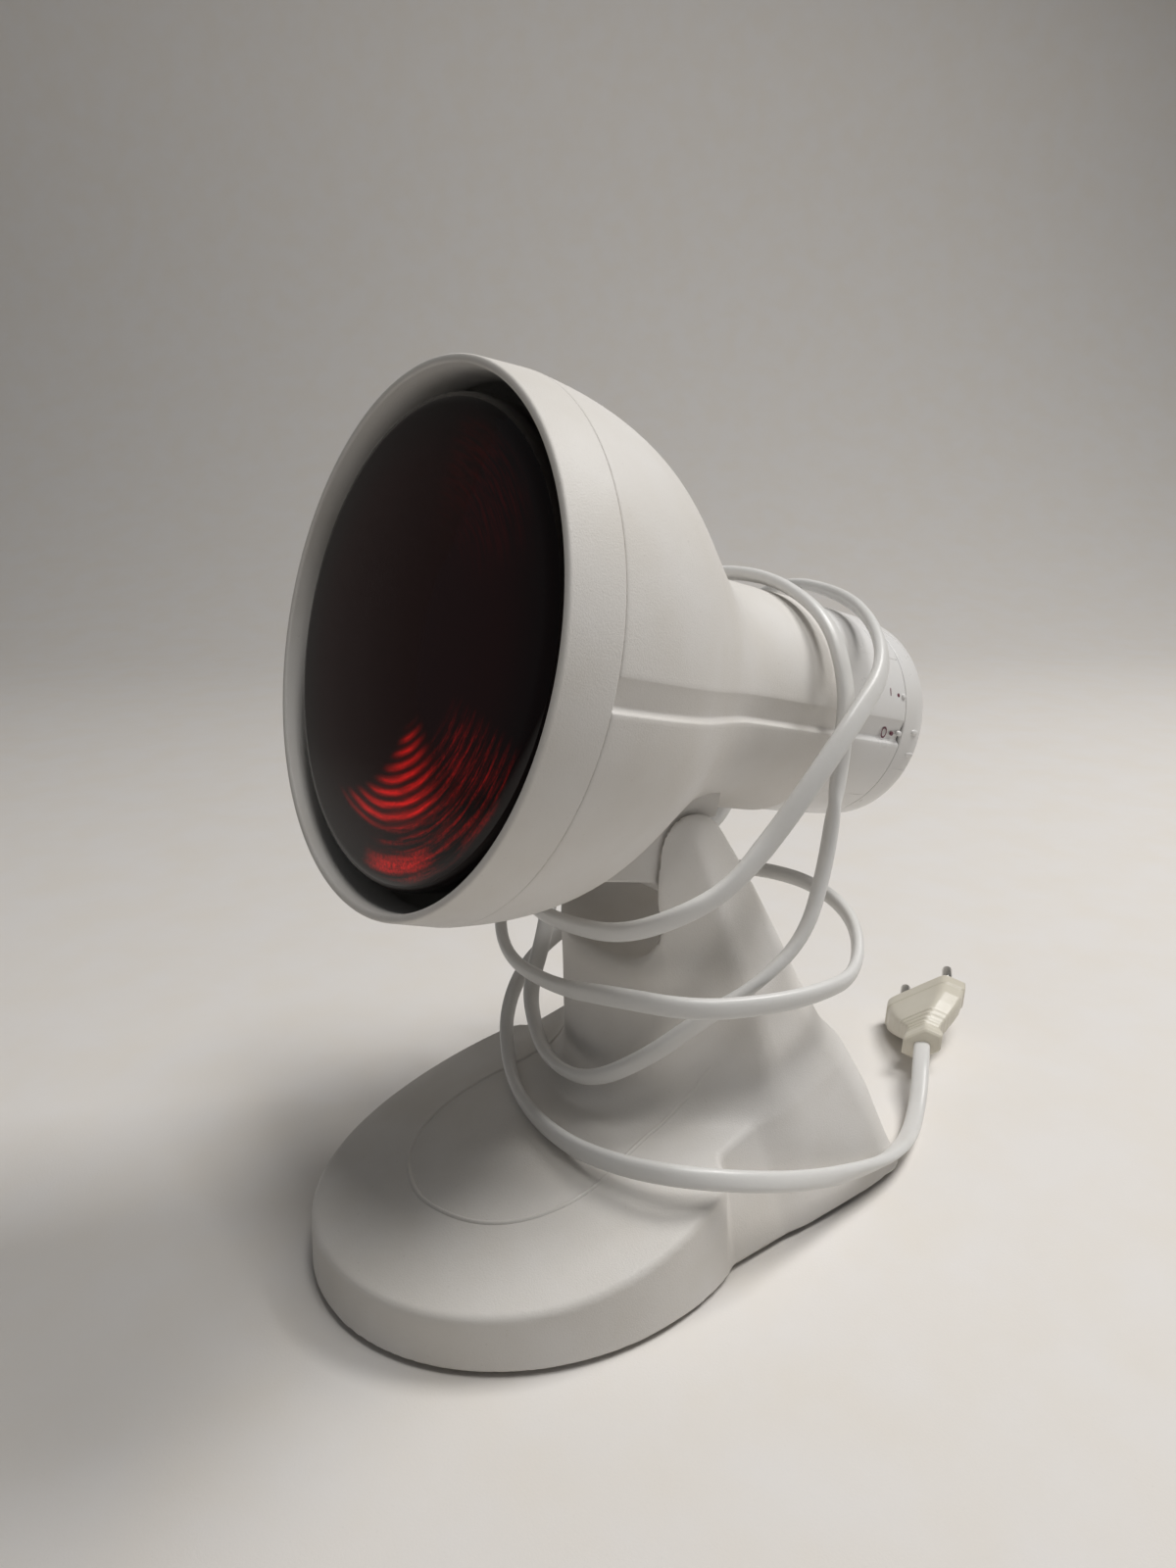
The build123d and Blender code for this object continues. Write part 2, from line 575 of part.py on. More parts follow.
# ---------------------------------------------------------------- rear of the head
rear_inner = REAR_RADIUS - HOOD_WALL
spigot_outer = NECK_RADIUS - HOOD_WALL - FIT_GAP
spigot_inner = spigot_outer - SPIGOT_WALL
partition_rear = PARTITION_DEPTH + PARTITION_THICKNESS
with BuildPart() as rear_housing:
    with BuildSketch(head_section):
        with BuildLine():
            Polyline(
                (HOOD_REAR, REAR_RADIUS),
                (REAR_END, REAR_RADIUS),
                (REAR_END, rear_inner),
                (partition_rear, rear_inner),
                (partition_rear, SPINDLE_HOLE_RADIUS),
                (PARTITION_DEPTH, SPINDLE_HOLE_RADIUS),
                (PARTITION_DEPTH, rear_inner),
                (HOOD_REAR + SPIGOT_WALL, rear_inner),
                (HOOD_REAR + SPIGOT_WALL, spigot_inner),
                (HOOD_REAR - SPIGOT_LENGTH, spigot_inner),
                (HOOD_REAR - SPIGOT_LENGTH, spigot_outer),
                (HOOD_REAR, spigot_outer),
                close=True,
            )
        make_face()
    revolve(axis=head_axis)
    with BuildSketch(across_head(HOOD_REAR)):
        Circle(REAR_RADIUS + HOOD_WALL)
        Circle(REAR_RADIUS - GROOVE_DEPTH, mode=Mode.SUBTRACT)
        with Locations((0, -GROOVE_DROP)):
            Rectangle(4 * REAR_RADIUS, GROOVE_WIDTH, mode=Mode.INTERSECT)
    extrude(amount=REAR_END - HOOD_REAR, mode=Mode.SUBTRACT)
    with BuildSketch(across_head(bracket_rear)):
        with Locations((-POST_X, 0), (POST_X, 0)):
            Circle(POST_RADIUS)
            Circle(SCREW_RADIUS, mode=Mode.SUBTRACT)
    extrude(amount=PARTITION_DEPTH - bracket_rear)
save(rear_housing, "rear_housing")

switch_body = revolved(
    (SWITCH_FRONT, 0),
    (SWITCH_FRONT, SWITCH_RADIUS),
    (PARTITION_DEPTH, SWITCH_RADIUS),
    (PARTITION_DEPTH, SPINDLE_RADIUS + SPINDLE_CLEARANCE),
    (SPINDLE_FRONT - SPINDLE_CLEARANCE, SPINDLE_RADIUS + SPINDLE_CLEARANCE),
    (SPINDLE_FRONT - SPINDLE_CLEARANCE, 0),
)
save(switch_body, "switch_body")

cap_floor = CAP_END - HOOD_WALL
switch_shaft = revolved(
    (SPINDLE_FRONT, 0),
    (SPINDLE_FRONT, SPINDLE_RADIUS),
    (cap_floor, SPINDLE_RADIUS),
    (cap_floor, 0),
)
save(switch_shaft, "switch_shaft")

hub_front = partition_rear + CAP_GAP
with BuildPart() as switch_cap:
    with BuildSketch(head_section) as cap_profile:
        with BuildLine():
            Polyline(
                (cap_front, CAP_RADIUS),
                (CAP_END, CAP_RADIUS),
                (CAP_END, 0),
                (cap_floor, 0),
                (cap_floor, SPINDLE_RADIUS),
                (hub_front, SPINDLE_RADIUS),
                (hub_front, HUB_RADIUS),
                (cap_floor, HUB_RADIUS),
                (cap_floor, CAP_RADIUS - HOOD_WALL),
                (cap_front, CAP_RADIUS - HOOD_WALL),
                close=True,
            )
        make_face()
        fillet(cap_profile.vertices().sort_by_distance((CAP_END, CAP_RADIUS))[0], CAP_ROUND)
    revolve(axis=head_axis)
save(switch_cap, "switch_cap")

# ---------------------------------------------------------------- lampholder
sleeve_inner = THREAD_RADIUS + THREAD_CLEARANCE
sleeve_outer = sleeve_inner + SLEEVE_WALL
lampholder = revolved(
    (HOLDER_FRONT, sleeve_outer),
    (HOLDER_FRONT, HOLDER_RADIUS),
    (HOLDER_REAR, HOLDER_RADIUS),
    (HOLDER_REAR, 0),
    (HOLDER_FLOOR, 0),
    (HOLDER_FLOOR, sleeve_outer),
)
save(lampholder, "lampholder")

holder_shell = revolved(
    (SLEEVE_FRONT, sleeve_inner),
    (SLEEVE_FRONT, sleeve_outer),
    (CAP_REAR, sleeve_outer),
    (CAP_REAR, sleeve_inner),
)
save(holder_shell, "holder_shell")

contact_front = HOLDER_FLOOR - CONTACT_THICKNESS
holder_contact = revolved(
    (contact_front, 0),
    (contact_front, CONTACT_RADIUS),
    (HOLDER_FLOOR, CONTACT_RADIUS),
    (HOLDER_FLOOR, 0),
)
save(holder_contact, "holder_contact")

with BuildPart() as holder_bracket:
    with BuildSketch(across_head(HOLDER_REAR)):
        Circle(BRACKET_RADIUS)
        Rectangle(2 * BRACKET_RADIUS, BRACKET_WIDTH, mode=Mode.INTERSECT)
        Circle(BRACKET_HOLE, mode=Mode.SUBTRACT)
        with Locations((-POST_X, 0), (POST_X, 0)):
            Circle(SCREW_RADIUS, mode=Mode.SUBTRACT)
    extrude(amount=BRACKET_THICKNESS)
save(holder_bracket, "holder_bracket")

with BuildPart() as holder_screws:
    for depth, radius, length in (
        (HOLDER_REAR - SCREW_HEAD_HEIGHT, POST_SCREW_HEAD_RADIUS, SCREW_HEAD_HEIGHT),
        (HOLDER_REAR, SCREW_RADIUS, BRACKET_THICKNESS + POST_SCREW_LENGTH),
    ):
        with BuildSketch(across_head(depth)):
            with Locations((-POST_X, 0), (POST_X, 0)):
                Circle(radius)
        extrude(amount=length)
save(holder_screws, "holder_screws")

# ---------------------------------------------------------------- bulb
with BuildPart() as bulb_lens:
    with BuildSketch(head_section) as lens_profile:
        with BuildLine():
            front = TangentArc(
                (LENS_FRONT, 0), (LENS_FRONT + LENS_SAGITTA, LENS_RADIUS), tangent=(0, 1)
            )
            back = TangentArc(
                (LENS_FRONT + LENS_WALL, 0),
                (LENS_FRONT + LENS_SAGITTA + LENS_WALL, LENS_RADIUS - LENS_WALL),
                tangent=(0, 1),
            )
            Polyline(
                front @ 1,
                (LENS_REAR, LENS_RADIUS),
                (LENS_REAR, LENS_RADIUS - LENS_WALL),
                back @ 1,
            )
            Line(back @ 0, front @ 0)
        make_face()
        fillet(lens_profile.vertices().sort_by_distance(front @ 1)[0], LENS_EDGE_ROUND)
    revolve(axis=head_axis)
save(bulb_lens, "bulb_lens")

reflector_curve = [(LENS_REAR, LENS_RADIUS)] + REFLECTOR_FORM
with BuildPart() as bulb_reflector:
    with BuildSketch(head_section):
        with BuildLine():
            outer = Spline(*reflector_curve)
            inner = Spline(*[(depth, radius - GLASS_WALL) for depth, radius in reflector_curve])
            Line(outer @ 0, inner @ 0)
            Line(outer @ 1, inner @ 1)
        make_face()
    revolve(axis=head_axis)
save(bulb_reflector, "bulb_reflector")

bulb_cap = revolved(
    (CAP_FRONT, THREAD_RADIUS - CAP_WALL),
    (CAP_FRONT, THREAD_RADIUS),
    (CAP_REAR, THREAD_RADIUS),
    (CAP_REAR, THREAD_RADIUS - CAP_WALL),
)
save(bulb_cap, "bulb_cap")

bulb_contact = revolved(
    (CAP_REAR - CAP_SEAT, 0),
    (CAP_REAR - CAP_SEAT, THREAD_RADIUS - CAP_WALL),
    (CAP_REAR, THREAD_RADIUS - CAP_WALL),
    (contact_front, CONTACT_RADIUS),
    (contact_front, 0),
)
save(bulb_contact, "bulb_contact")

with BuildPart() as filament:
    with BuildSketch(head_section):
        with Locations((FILAMENT_DEPTH, FILAMENT_RING)):
            Circle(FILAMENT_WIRE)
    revolve(axis=head_axis)
save(filament, "filament")

with BuildPart() as filament_support:
    with BuildSketch(head_section):
        with Locations((STEM_FRONT, 0)):
            Rectangle(CAP_FRONT - STEM_FRONT, STEM_RADIUS, align=(Align.MIN, Align.MIN))
            Rectangle(STEM_DISC, FILAMENT_RING + 3 * SUPPORT_RADIUS, align=(Align.MIN, Align.MIN))
        with Locations((CAP_FRONT, 0)):
            Rectangle(STEM_DISC, THREAD_RADIUS - CAP_WALL, align=(Align.MIN, Align.MIN))
    revolve(axis=head_axis)
    with BuildSketch(across_head(FILAMENT_DEPTH + FILAMENT_WIRE)):
        with Locations((-FILAMENT_RING, 0), (FILAMENT_RING, 0)):
            Circle(SUPPORT_RADIUS)
    extrude(amount=STEM_FRONT - FILAMENT_DEPTH - FILAMENT_WIRE)
save(filament_support, "filament_support")

# ---------------------------------------------------------------- leads
with BuildPart() as cord_clamp:
    with BuildSketch(clamp_plane):
        Circle(CLAMP_RADIUS)
    extrude(amount=CLAMP_SHANK)
    with BuildSketch(clamp_plane.offset(CLAMP_SHANK)):
        Circle(CLAMP_RADIUS)
    extrude(amount=RELIEF_LENGTH, taper=RELIEF_TAPER)
    with BuildSketch(clamp_plane.offset(NECK_RADIUS + FIT_GAP - CLAMP_INNER)):
        Circle(CLAMP_COLLAR_RADIUS)
    extrude(amount=CLAMP_COLLAR_HEIGHT)
save(cord_clamp, "cord_clamp")

lead_routes = {
    "lead_live": (
        (CLAMP_DEPTH, CLAMP_INNER, CLAMP_ANGLE + LEAD_SPREAD),
        (CLAMP_DEPTH, LEAD_TRACK, CLAMP_ANGLE + LEAD_SPREAD),
        (switch_middle, LEAD_TRACK, CLAMP_ANGLE + LEAD_SPREAD),
        (switch_middle, SWITCH_RADIUS, CLAMP_ANGLE + LEAD_SPREAD),
    ),
    "lead_neutral": (
        (CLAMP_DEPTH, CLAMP_INNER, CLAMP_ANGLE - LEAD_SPREAD),
        (CLAMP_DEPTH, LEAD_TRACK, CLAMP_ANGLE - LEAD_SPREAD),
        (LEAD_TERMINAL, LEAD_TRACK, CLAMP_ANGLE - LEAD_SPREAD),
        (LEAD_TERMINAL, HOLDER_RADIUS, CLAMP_ANGLE - LEAD_SPREAD),
    ),
    "lead_switched": (
        (switch_middle, SWITCH_RADIUS, SWITCHED_ANGLE),
        (switch_middle, LEAD_TRACK, SWITCHED_ANGLE),
        (LEAD_TERMINAL, LEAD_TRACK, SWITCHED_ANGLE),
        (LEAD_TERMINAL, HOLDER_RADIUS, SWITCHED_ANGLE),
    ),
}
for name, route in lead_routes.items():
    with BuildPart() as lead:
        with BuildLine() as lead_path:
            FilletPolyline(*[at_head(*place) for place in route], radius=LEAD_BEND)
        with BuildSketch(Plane(lead_path.line @ 0, z_dir=lead_path.line % 0)):
            Circle(LEAD_RADIUS)
        sweep()
    save(lead, name)

# ---------------------------------------------------------------- mains lead and plug
plug_axis = Vector(cos(radians(PLUG_YAW)), sin(radians(PLUG_YAW)), 0)
plug_left = Vector(0, 0, 1).cross(plug_axis).rotate(Axis((0, 0, 0), plug_axis), -PLUG_ROLL)
plug_plane = Plane(PLUG_ENTRY, x_dir=plug_left, z_dir=plug_axis)

relief_tip = clamp_plane.origin + clamp_out * (CLAMP_SHANK + RELIEF_LENGTH)
cord_points = [
    relief_tip,
    relief_tip + clamp_out * CORD_STUB,
    *[Vector(*place) for place in CORD_ROUTE],
    plug_plane.origin - plug_axis * CORD_STUB,
    plug_plane.origin,
]
cord_runs = [end - start for start, end in zip(cord_points, cord_points[1:])]
cord_radii = [
    CORD_ARC * min(before.length, after.length) / tan(radians(before.get_angle(after)) / 2)
    for before, after in zip(cord_runs, cord_runs[1:])
]
print("arc radii of the lead:", [round(radius) for radius in cord_radii])
with BuildPart() as mains_cord:
    with BuildLine() as cord_path:
        FilletPolyline(*cord_points, radius=cord_radii)
    with BuildSketch(Plane(relief_tip, z_dir=clamp_out)):
        Circle(CORD_RADIUS)
    sweep()
print("length of the lead:", round(sum(edge.length for edge in cord_path.edges()), 1))
save(mains_cord, "mains_cord")

plug_pin_places = Locations((-PIN_SPACING / 2, 0), (PIN_SPACING / 2, 0))


def plug_outline(half_width, half_height):
    """The plug's six-sided section: two flats, joined by bevels that meet at its sides."""
    flat = half_width - PLUG_BEVEL * half_height
    return Polygon(
        (-half_width, 0),
        (-flat, -half_height),
        (flat, -half_height),
        (half_width, 0),
        (flat, half_height),
        (-flat, half_height),
        align=None,
    )


with BuildPart() as plug_body:
    with BuildSketch(plug_plane):
        plug_outline(*PLUG_SECTIONS[0][1:])
    extrude(amount=PLUG_SECTIONS[0][0])
    for depth, half_width, half_height in PLUG_SECTIONS:
        with BuildSketch(plug_plane.offset(depth)):
            plug_outline(half_width, half_height)
    loft(ruled=True)
    with BuildSketch(plug_plane.offset(PLUG_SECTIONS[-1][0])):
        plug_outline(*PLUG_SECTIONS[-1][1:])
    extrude(amount=PLUG_BAND - PLUG_SECTIONS[-1][0])
    with BuildSketch(plug_plane.offset(PLUG_BAND)):
        plug_outline(PLUG_HALF_WIDTH, PLUG_HALF_HEIGHT)
    extrude(amount=PLUG_LENGTH - PLUG_BAND)
    fillet(plug_body.edges().group_by(Axis(PLUG_ENTRY, plug_axis))[-1], PLUG_ROUND)
    with BuildSketch(plug_plane.offset(PLUG_LENGTH - PLUG_PIN_ROOT)):
        with plug_pin_places:
            Circle(PLUG_PIN_ROOT_RADIUS)
    extrude(amount=PLUG_PIN_ROOT, mode=Mode.SUBTRACT)
save(plug_body, "plug_body")

with BuildPart() as plug_pins:
    with BuildSketch(plug_plane.offset(PLUG_LENGTH - PLUG_PIN_ROOT)):
        with plug_pin_places:
            Circle(PLUG_PIN_ROOT_RADIUS)
    extrude(amount=PLUG_PIN_ROOT)
    with BuildSketch(plug_plane.offset(PLUG_LENGTH)):
        with plug_pin_places:
            Circle(PLUG_PIN_RADIUS)
    extrude(amount=PLUG_PIN_LENGTH)
    chamfer(plug_pins.edges().group_by(Axis(PLUG_ENTRY, plug_axis))[-1], PLUG_PIN_CHAMFER)
save(plug_pins, "plug_pins")
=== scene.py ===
# %% [markdown]
# # An infrared heat lamp
# A bell-shaped hood with a red reflector bulb tilts in the fork of a heavy moulded foot, and its
# flat mains lead is wound round the neck. Every piece is a surface worked out with numpy, in
# millimetres, in the same frame as the CAD parts, and goes into its mesh in metres.

# %% The frame
import json
from math import atan2, cos, hypot, radians, sin, tan

import bpy
import numpy as np
from mathutils import Matrix


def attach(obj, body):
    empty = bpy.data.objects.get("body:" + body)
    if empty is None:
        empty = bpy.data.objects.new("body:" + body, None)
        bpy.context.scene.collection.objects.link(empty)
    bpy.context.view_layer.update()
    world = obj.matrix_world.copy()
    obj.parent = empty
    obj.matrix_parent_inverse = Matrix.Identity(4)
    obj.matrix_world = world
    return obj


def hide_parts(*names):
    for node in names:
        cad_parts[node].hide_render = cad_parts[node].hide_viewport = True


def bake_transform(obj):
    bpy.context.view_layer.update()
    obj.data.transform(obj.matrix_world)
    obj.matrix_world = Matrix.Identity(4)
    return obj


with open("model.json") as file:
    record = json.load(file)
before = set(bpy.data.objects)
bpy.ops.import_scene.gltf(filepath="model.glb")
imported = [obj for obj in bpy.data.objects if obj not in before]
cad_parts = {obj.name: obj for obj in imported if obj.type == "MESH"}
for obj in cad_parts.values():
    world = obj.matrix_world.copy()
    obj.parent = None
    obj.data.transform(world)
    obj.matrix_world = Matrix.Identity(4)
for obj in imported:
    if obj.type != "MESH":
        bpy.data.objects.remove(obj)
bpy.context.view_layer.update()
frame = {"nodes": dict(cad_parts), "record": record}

MM = 0.001

# %% [markdown]
# The head leans back in its fork, so everything on it is easier to write in the head's own
# directions: the depth behind the rim, x across, and u upwards from the lamp's axis. One function
# turns these three into places in the frame, and every piece of the head uses it.

# %% The head's directions
TILT = radians(14.69)
PIVOT = np.array([0, 4.55, 114.7])
PIVOT_DEPTH = 88.8  # behind the rim
PIVOT_DROP = 45.0  # below the lamp's axis
ACROSS = np.array([1.0, 0, 0])
DEPTH_WAY = np.array([0, cos(TILT), -sin(TILT)])
UP_WAY = np.array([0, sin(TILT), cos(TILT)])
RIM_CENTRE = PIVOT - PIVOT_DEPTH * DEPTH_WAY + PIVOT_DROP * UP_WAY


def at_head(depth, x, u):
    """The rim's centre, plus depth along the axis, x across and u upwards."""
    depth, x, u = (v[..., None] for v in np.broadcast_arrays(depth, x, u))
    return RIM_CENTRE + depth * DEPTH_WAY + x * ACROSS + u * UP_WAY


def circle(count):
    """That many even angles round a full turn."""
    return np.linspace(0, 2 * np.pi, count, endpoint=False)


def unit(vectors):
    """The same directions at length 1."""
    return vectors / np.linalg.norm(vectors, axis=-1)[..., None]


print("rim centre:", RIM_CENTRE.round(1))

# %% [markdown]
# ## Two ways to a closed surface
# Most pieces are rings of points in a row: a grid whose columns close into rings, with its first
# and last ring closed by a fan. A piece whose parts flow into each other, such as the foot, is
# easier as a field: a number for each place, below zero inside. Its surface is found as a net,
# with one point in each small cell that the surface crosses.

# %% From a grid of points to an object
def add_mesh(name, points, faces):
    """A smooth-shaded object from points in millimetres."""
    mesh = bpy.data.meshes.new(name)
    mesh.from_pydata((points * MM).tolist(), [], faces)
    mesh.polygons.foreach_set("use_smooth", np.ones(len(faces), dtype=bool))
    thing = bpy.data.objects.new(name, mesh)
    bpy.context.scene.collection.objects.link(thing)
    return thing


def span(points, corners):
    """Six times the volume between the origin and the triangles at these corners."""
    a, b, c = (points[corners[:, k]] for k in range(3))
    return np.einsum("ij,ij->i", a, np.cross(b, c)).sum()


def make_object(name, points, faces, normals=None):
    """A closed object; its faces are turned outwards if they aren't."""
    first_halves = np.array([face[:3] for face in faces])
    second_halves = np.array([(face[0], face[2], face[3]) for face in faces if len(face) == 4])
    if span(points, first_halves) + span(points, second_halves) < 0:
        faces = [face[::-1] for face in faces]
    thing = add_mesh(name, points, faces)
    if normals is not None:
        thing.data.normals_split_custom_set_from_vertices(normals.tolist())
    print(name, len(points), "points", len(faces), "faces")
    return thing


def skin(name, grid, rows_close=False):
    """Faces between neighbours of a grid of points whose columns close into rings. Where the rows
    don't close as well, the first and last ring are fanned to their middle."""
    rows, columns = grid.shape[:2]
    index = np.arange(rows * columns).reshape(rows, columns)
    below = np.vstack([index, index[:1]]) if rows_close else index
    here, right = below[:-1], np.roll(below[:-1], -1, axis=1)
    down, down_right = below[1:], np.roll(below[1:], -1, axis=1)
    faces = np.stack([here, right, down_right, down], axis=-1).reshape(-1, 4).tolist()
    points = grid.reshape(-1, 3)
    if not rows_close:
        first, last = index[0], index[-1]
        for a, b, end in ((np.roll(first, -1), first, 0), (last, np.roll(last, -1), 1)):
            fan = [a, b, np.full(columns, len(points) + end)]
            faces += np.stack(fan, axis=-1).tolist()
        points = np.vstack([points, grid[0].mean(axis=0), grid[-1].mean(axis=0)])
    return make_object(name, points, faces)


# %% Profiles
def rounded(corners, steps=5):
    """A profile through (depth, radius, round) corners, each replaced by an arc that touches the
    two runs beside it: the arc's bend is a quadratic curve between its two touching points."""
    places = np.array([corner[:2] for corner in corners], dtype=float)
    rows = []
    for number, (depth, radius, size) in enumerate(corners):
        here = places[number]
        if size == 0 or number in (0, len(corners) - 1):
            rows.append(here[None])
            continue
        before = places[number - 1] - here
        after = places[number + 1] - here
        start = here + before / np.linalg.norm(before) * size
        end = here + after / np.linalg.norm(after) * size
        t = np.linspace(0, 1, steps)[:, None]
        rows.append((1 - t) ** 2 * start + 2 * t * (1 - t) * here + t**2 * end)
    return np.vstack(rows)


def turned(name, profile, turns=160, rows_close=False):
    """A profile of (depth, radius) rows carried round the lamp's axis."""
    angle = circle(turns)[None, :]
    depth, radius = profile[:, :1], profile[:, 1:2]
    x, u = radius * np.cos(angle), radius * np.sin(angle)
    return skin(name, at_head(depth, x, u), rows_close)


def smooth_curve(knots, values, at):
    """A natural cubic spline: between two knots a cubic, with equal slopes and bends where they
    meet. The bends come from one set of linear equations."""
    knots, values = np.asarray(knots, float), np.asarray(values, float)
    gap = np.diff(knots)
    count = len(knots)
    matrix = np.eye(count)
    right = np.zeros(count)
    inner = np.arange(1, count - 1)
    matrix[inner, inner - 1] = gap[:-1]
    matrix[inner, inner] = 2 * (gap[:-1] + gap[1:])
    matrix[inner, inner + 1] = gap[1:]
    right[inner] = 6 * np.diff(np.diff(values) / gap)
    bend = np.linalg.solve(matrix, right)
    at = np.asarray(at, float)
    k = np.clip(np.searchsorted(knots, at) - 1, 0, count - 2)
    a, b = knots[k + 1] - at, at - knots[k]
    cubic = (bend[k] * a**3 + bend[k + 1] * b**3) / (6 * gap[k])
    low = values[k] / gap[k] - bend[k] * gap[k] / 6
    high = values[k + 1] / gap[k] - bend[k + 1] * gap[k] / 6
    return cubic + low * a + high * b


# %% The net of a field
def slope_of(field, p, reach=0.05):
    """The field's direction of fastest growth, from the difference on both sides of each place."""
    shift = np.eye(3) * reach
    return np.stack([(field(*(p + s).T) - field(*(p - s).T)) / (2 * reach) for s in shift], axis=-1)


def settle(field, p, rounds=6):
    """Each place moves along the slope by its value over the slope, until the field there is 0."""
    for _ in range(rounds):
        slope = slope_of(field, p)
        move = (field(*p.T) / np.maximum((slope**2).sum(axis=-1), 0.2))[:, None] * slope
        p = p - np.clip(move, -1, 1)
    return p


def net(name, field, low, high, step, place=lambda p: p):
    """The surface where the field is 0. Each cell that it crosses gets a point at the mean of the
    crossings on its edges, and each grid edge that it crosses gets a face between the four cells
    round it. The points then settle on the field."""
    lines = [np.arange(a, b + step, step) for a, b in zip(low, high)]
    grid = np.stack(np.meshgrid(*lines, indexing="ij"))
    value = field(*grid)
    cells = tuple(n - 1 for n in value.shape)
    total, count = np.zeros((3,) + cells), np.zeros(cells)
    crossings = []
    for way in range(3):
        ends = [slice(None)] * 3, [slice(None)] * 3
        ends[0][way], ends[1][way] = slice(0, -1), slice(1, None)
        a, b = value[tuple(ends[0])], value[tuple(ends[1])]
        cross = (a < 0) != (b < 0)
        share = np.where(cross, a / np.where(cross, a - b, 1), 0)
        spot = grid[(slice(None),) + tuple(ends[0])].copy()
        spot[way] += share * step
        spot *= cross
        others = [n for n in range(3) if n != way]
        for i in (0, 1):
            for j in (0, 1):
                part = [slice(None)] * 3
                part[others[0]] = slice(i, i + cells[others[0]])
                part[others[1]] = slice(j, j + cells[others[1]])
                total += spot[(slice(None),) + tuple(part)]
                count += cross[tuple(part)]
        crossings.append((way, cross, a < 0))
    number = np.full(cells, -1)
    number[count > 0] = np.arange((count > 0).sum())
    points = (total[:, count > 0] / count[count > 0]).T
    faces = []
    for way, cross, inside in crossings:
        first, second = (way + 1) % 3, (way + 2) % 3
        where = np.argwhere(cross)
        keep = (where[:, first] > 0) & (where[:, second] > 0)
        keep &= (where[:, first] < cells[first]) & (where[:, second] < cells[second])
        where = where[keep]
        ring = []
        for i, j in ((0, 0), (1, 0), (1, 1), (0, 1)):
            cell = where.copy()
            cell[:, first] -= i
            cell[:, second] -= j
            ring.append(number[tuple(cell.T)])
        ring = np.stack(ring, axis=-1)
        flip = ~inside[tuple(where.T)]
        ring[flip] = ring[flip][:, ::-1]
        faces.append(ring)
    points = settle(field, points)
    outwards = unit(slope_of(field, points))
    here = place(points)
    return make_object(name, here, np.vstack(faces).tolist(), place(points + outwards) - here)


# %% Joining and cutting fields
def meet(a, b, size):
    """Inside both, with their edge rounded to that radius: a quarter circle between two walls."""
    corner = np.hypot(np.maximum(size + a, 0), np.maximum(size + b, 0))
    return np.minimum(-size, np.maximum(a, b)) + corner


def merge(a, b, size):
    """Inside either, with a cove of that radius where they meet."""
    return -meet(-a, -b, size)


# %% [markdown]
# ## The foot
# The foot is one moulding: an oval lobe with a crowned top, behind it a pylon with hollow flanks,
# and on the pylon two lugs with a slot between them. As a field, each part is one line, and the
# coves and soft edges come from how the lines are joined.

# %% The lobe
RIM_HEIGHT = 1.8
LOBE_MIDDLE = -32.75
LOBE_HALF_WIDTH, LOBE_HALF_LENGTH = 61.4, 69.9
LOBE_DRAFT = tan(radians(3.5))
LOBE_REAR = -4.5
ROOF_HEIGHT = 32.9  # above the lobe's middle
ROOF_RADIUS = 209
ROOF_SLOPE = radians(12.8)
SIDE_LEAN = radians(13.77)
REAR_LEAN = radians(26.15)
REAR_ROUND = 9.5


def side_at(z):
    """Half the pylon's width, which shrinks upwards."""
    return 56.0 - z * tan(SIDE_LEAN)


def rear_at(z):
    """The pylon's rear face, which leans forwards."""
    return 76.55 - z * tan(REAR_LEAN)


def lobe_field(x, y, z):
    """An upright oval that narrows upwards, cut off towards the rear, under a crowned roof: the
    roof is a large cylinder that rises to the rear."""
    wide = LOBE_HALF_WIDTH - (z - RIM_HEIGHT) * LOBE_DRAFT
    long = LOBE_HALF_LENGTH - (z - RIM_HEIGHT) * LOBE_DRAFT
    px, py = x / wide, (y - LOBE_MIDDLE) / long
    near = np.sqrt(px**2 + py**2) + 1e-9
    oval = near * (near - 1) / (np.sqrt((px / wide) ** 2 + (py / long) ** 2) + 1e-9)
    front = meet(oval, y - LOBE_REAR, 5.0)
    side, rear = np.abs(x) - side_at(z), y - rear_at(z)
    skirt = meet(side * cos(SIDE_LEAN), rear * cos(REAR_LEAN), REAR_ROUND)
    skirt = np.maximum(skirt, -30 - y)
    walls = merge(front, skirt, 2.5)
    rise = (z - ROOF_HEIGHT) * cos(ROOF_SLOPE)
    height = -(y - LOBE_MIDDLE) * sin(ROOF_SLOPE) + rise + ROOF_RADIUS
    return meet(walls, np.hypot(x, height) - ROOF_RADIUS, 1.6)


# %% The pylon
LUG_RADIUS = 12.7
LUG_FRONT = -13.0
SLOT_FLOOR = 84.0
SLOT_HALF_WIDTH = 23.0
NOSE_MIDDLE, NOSE_RADIUS = 39.95, 52.95
FLANK_X, FLANK_Y = 23.5, -7.5  # where a flank starts at the nose
ARRIS_Y, ARRIS_HEIGHT = 19.5, 55.0  # where the arris starts to lean
ARRIS_LEAN = tan(radians(12.4))
HOLLOW = 0.2


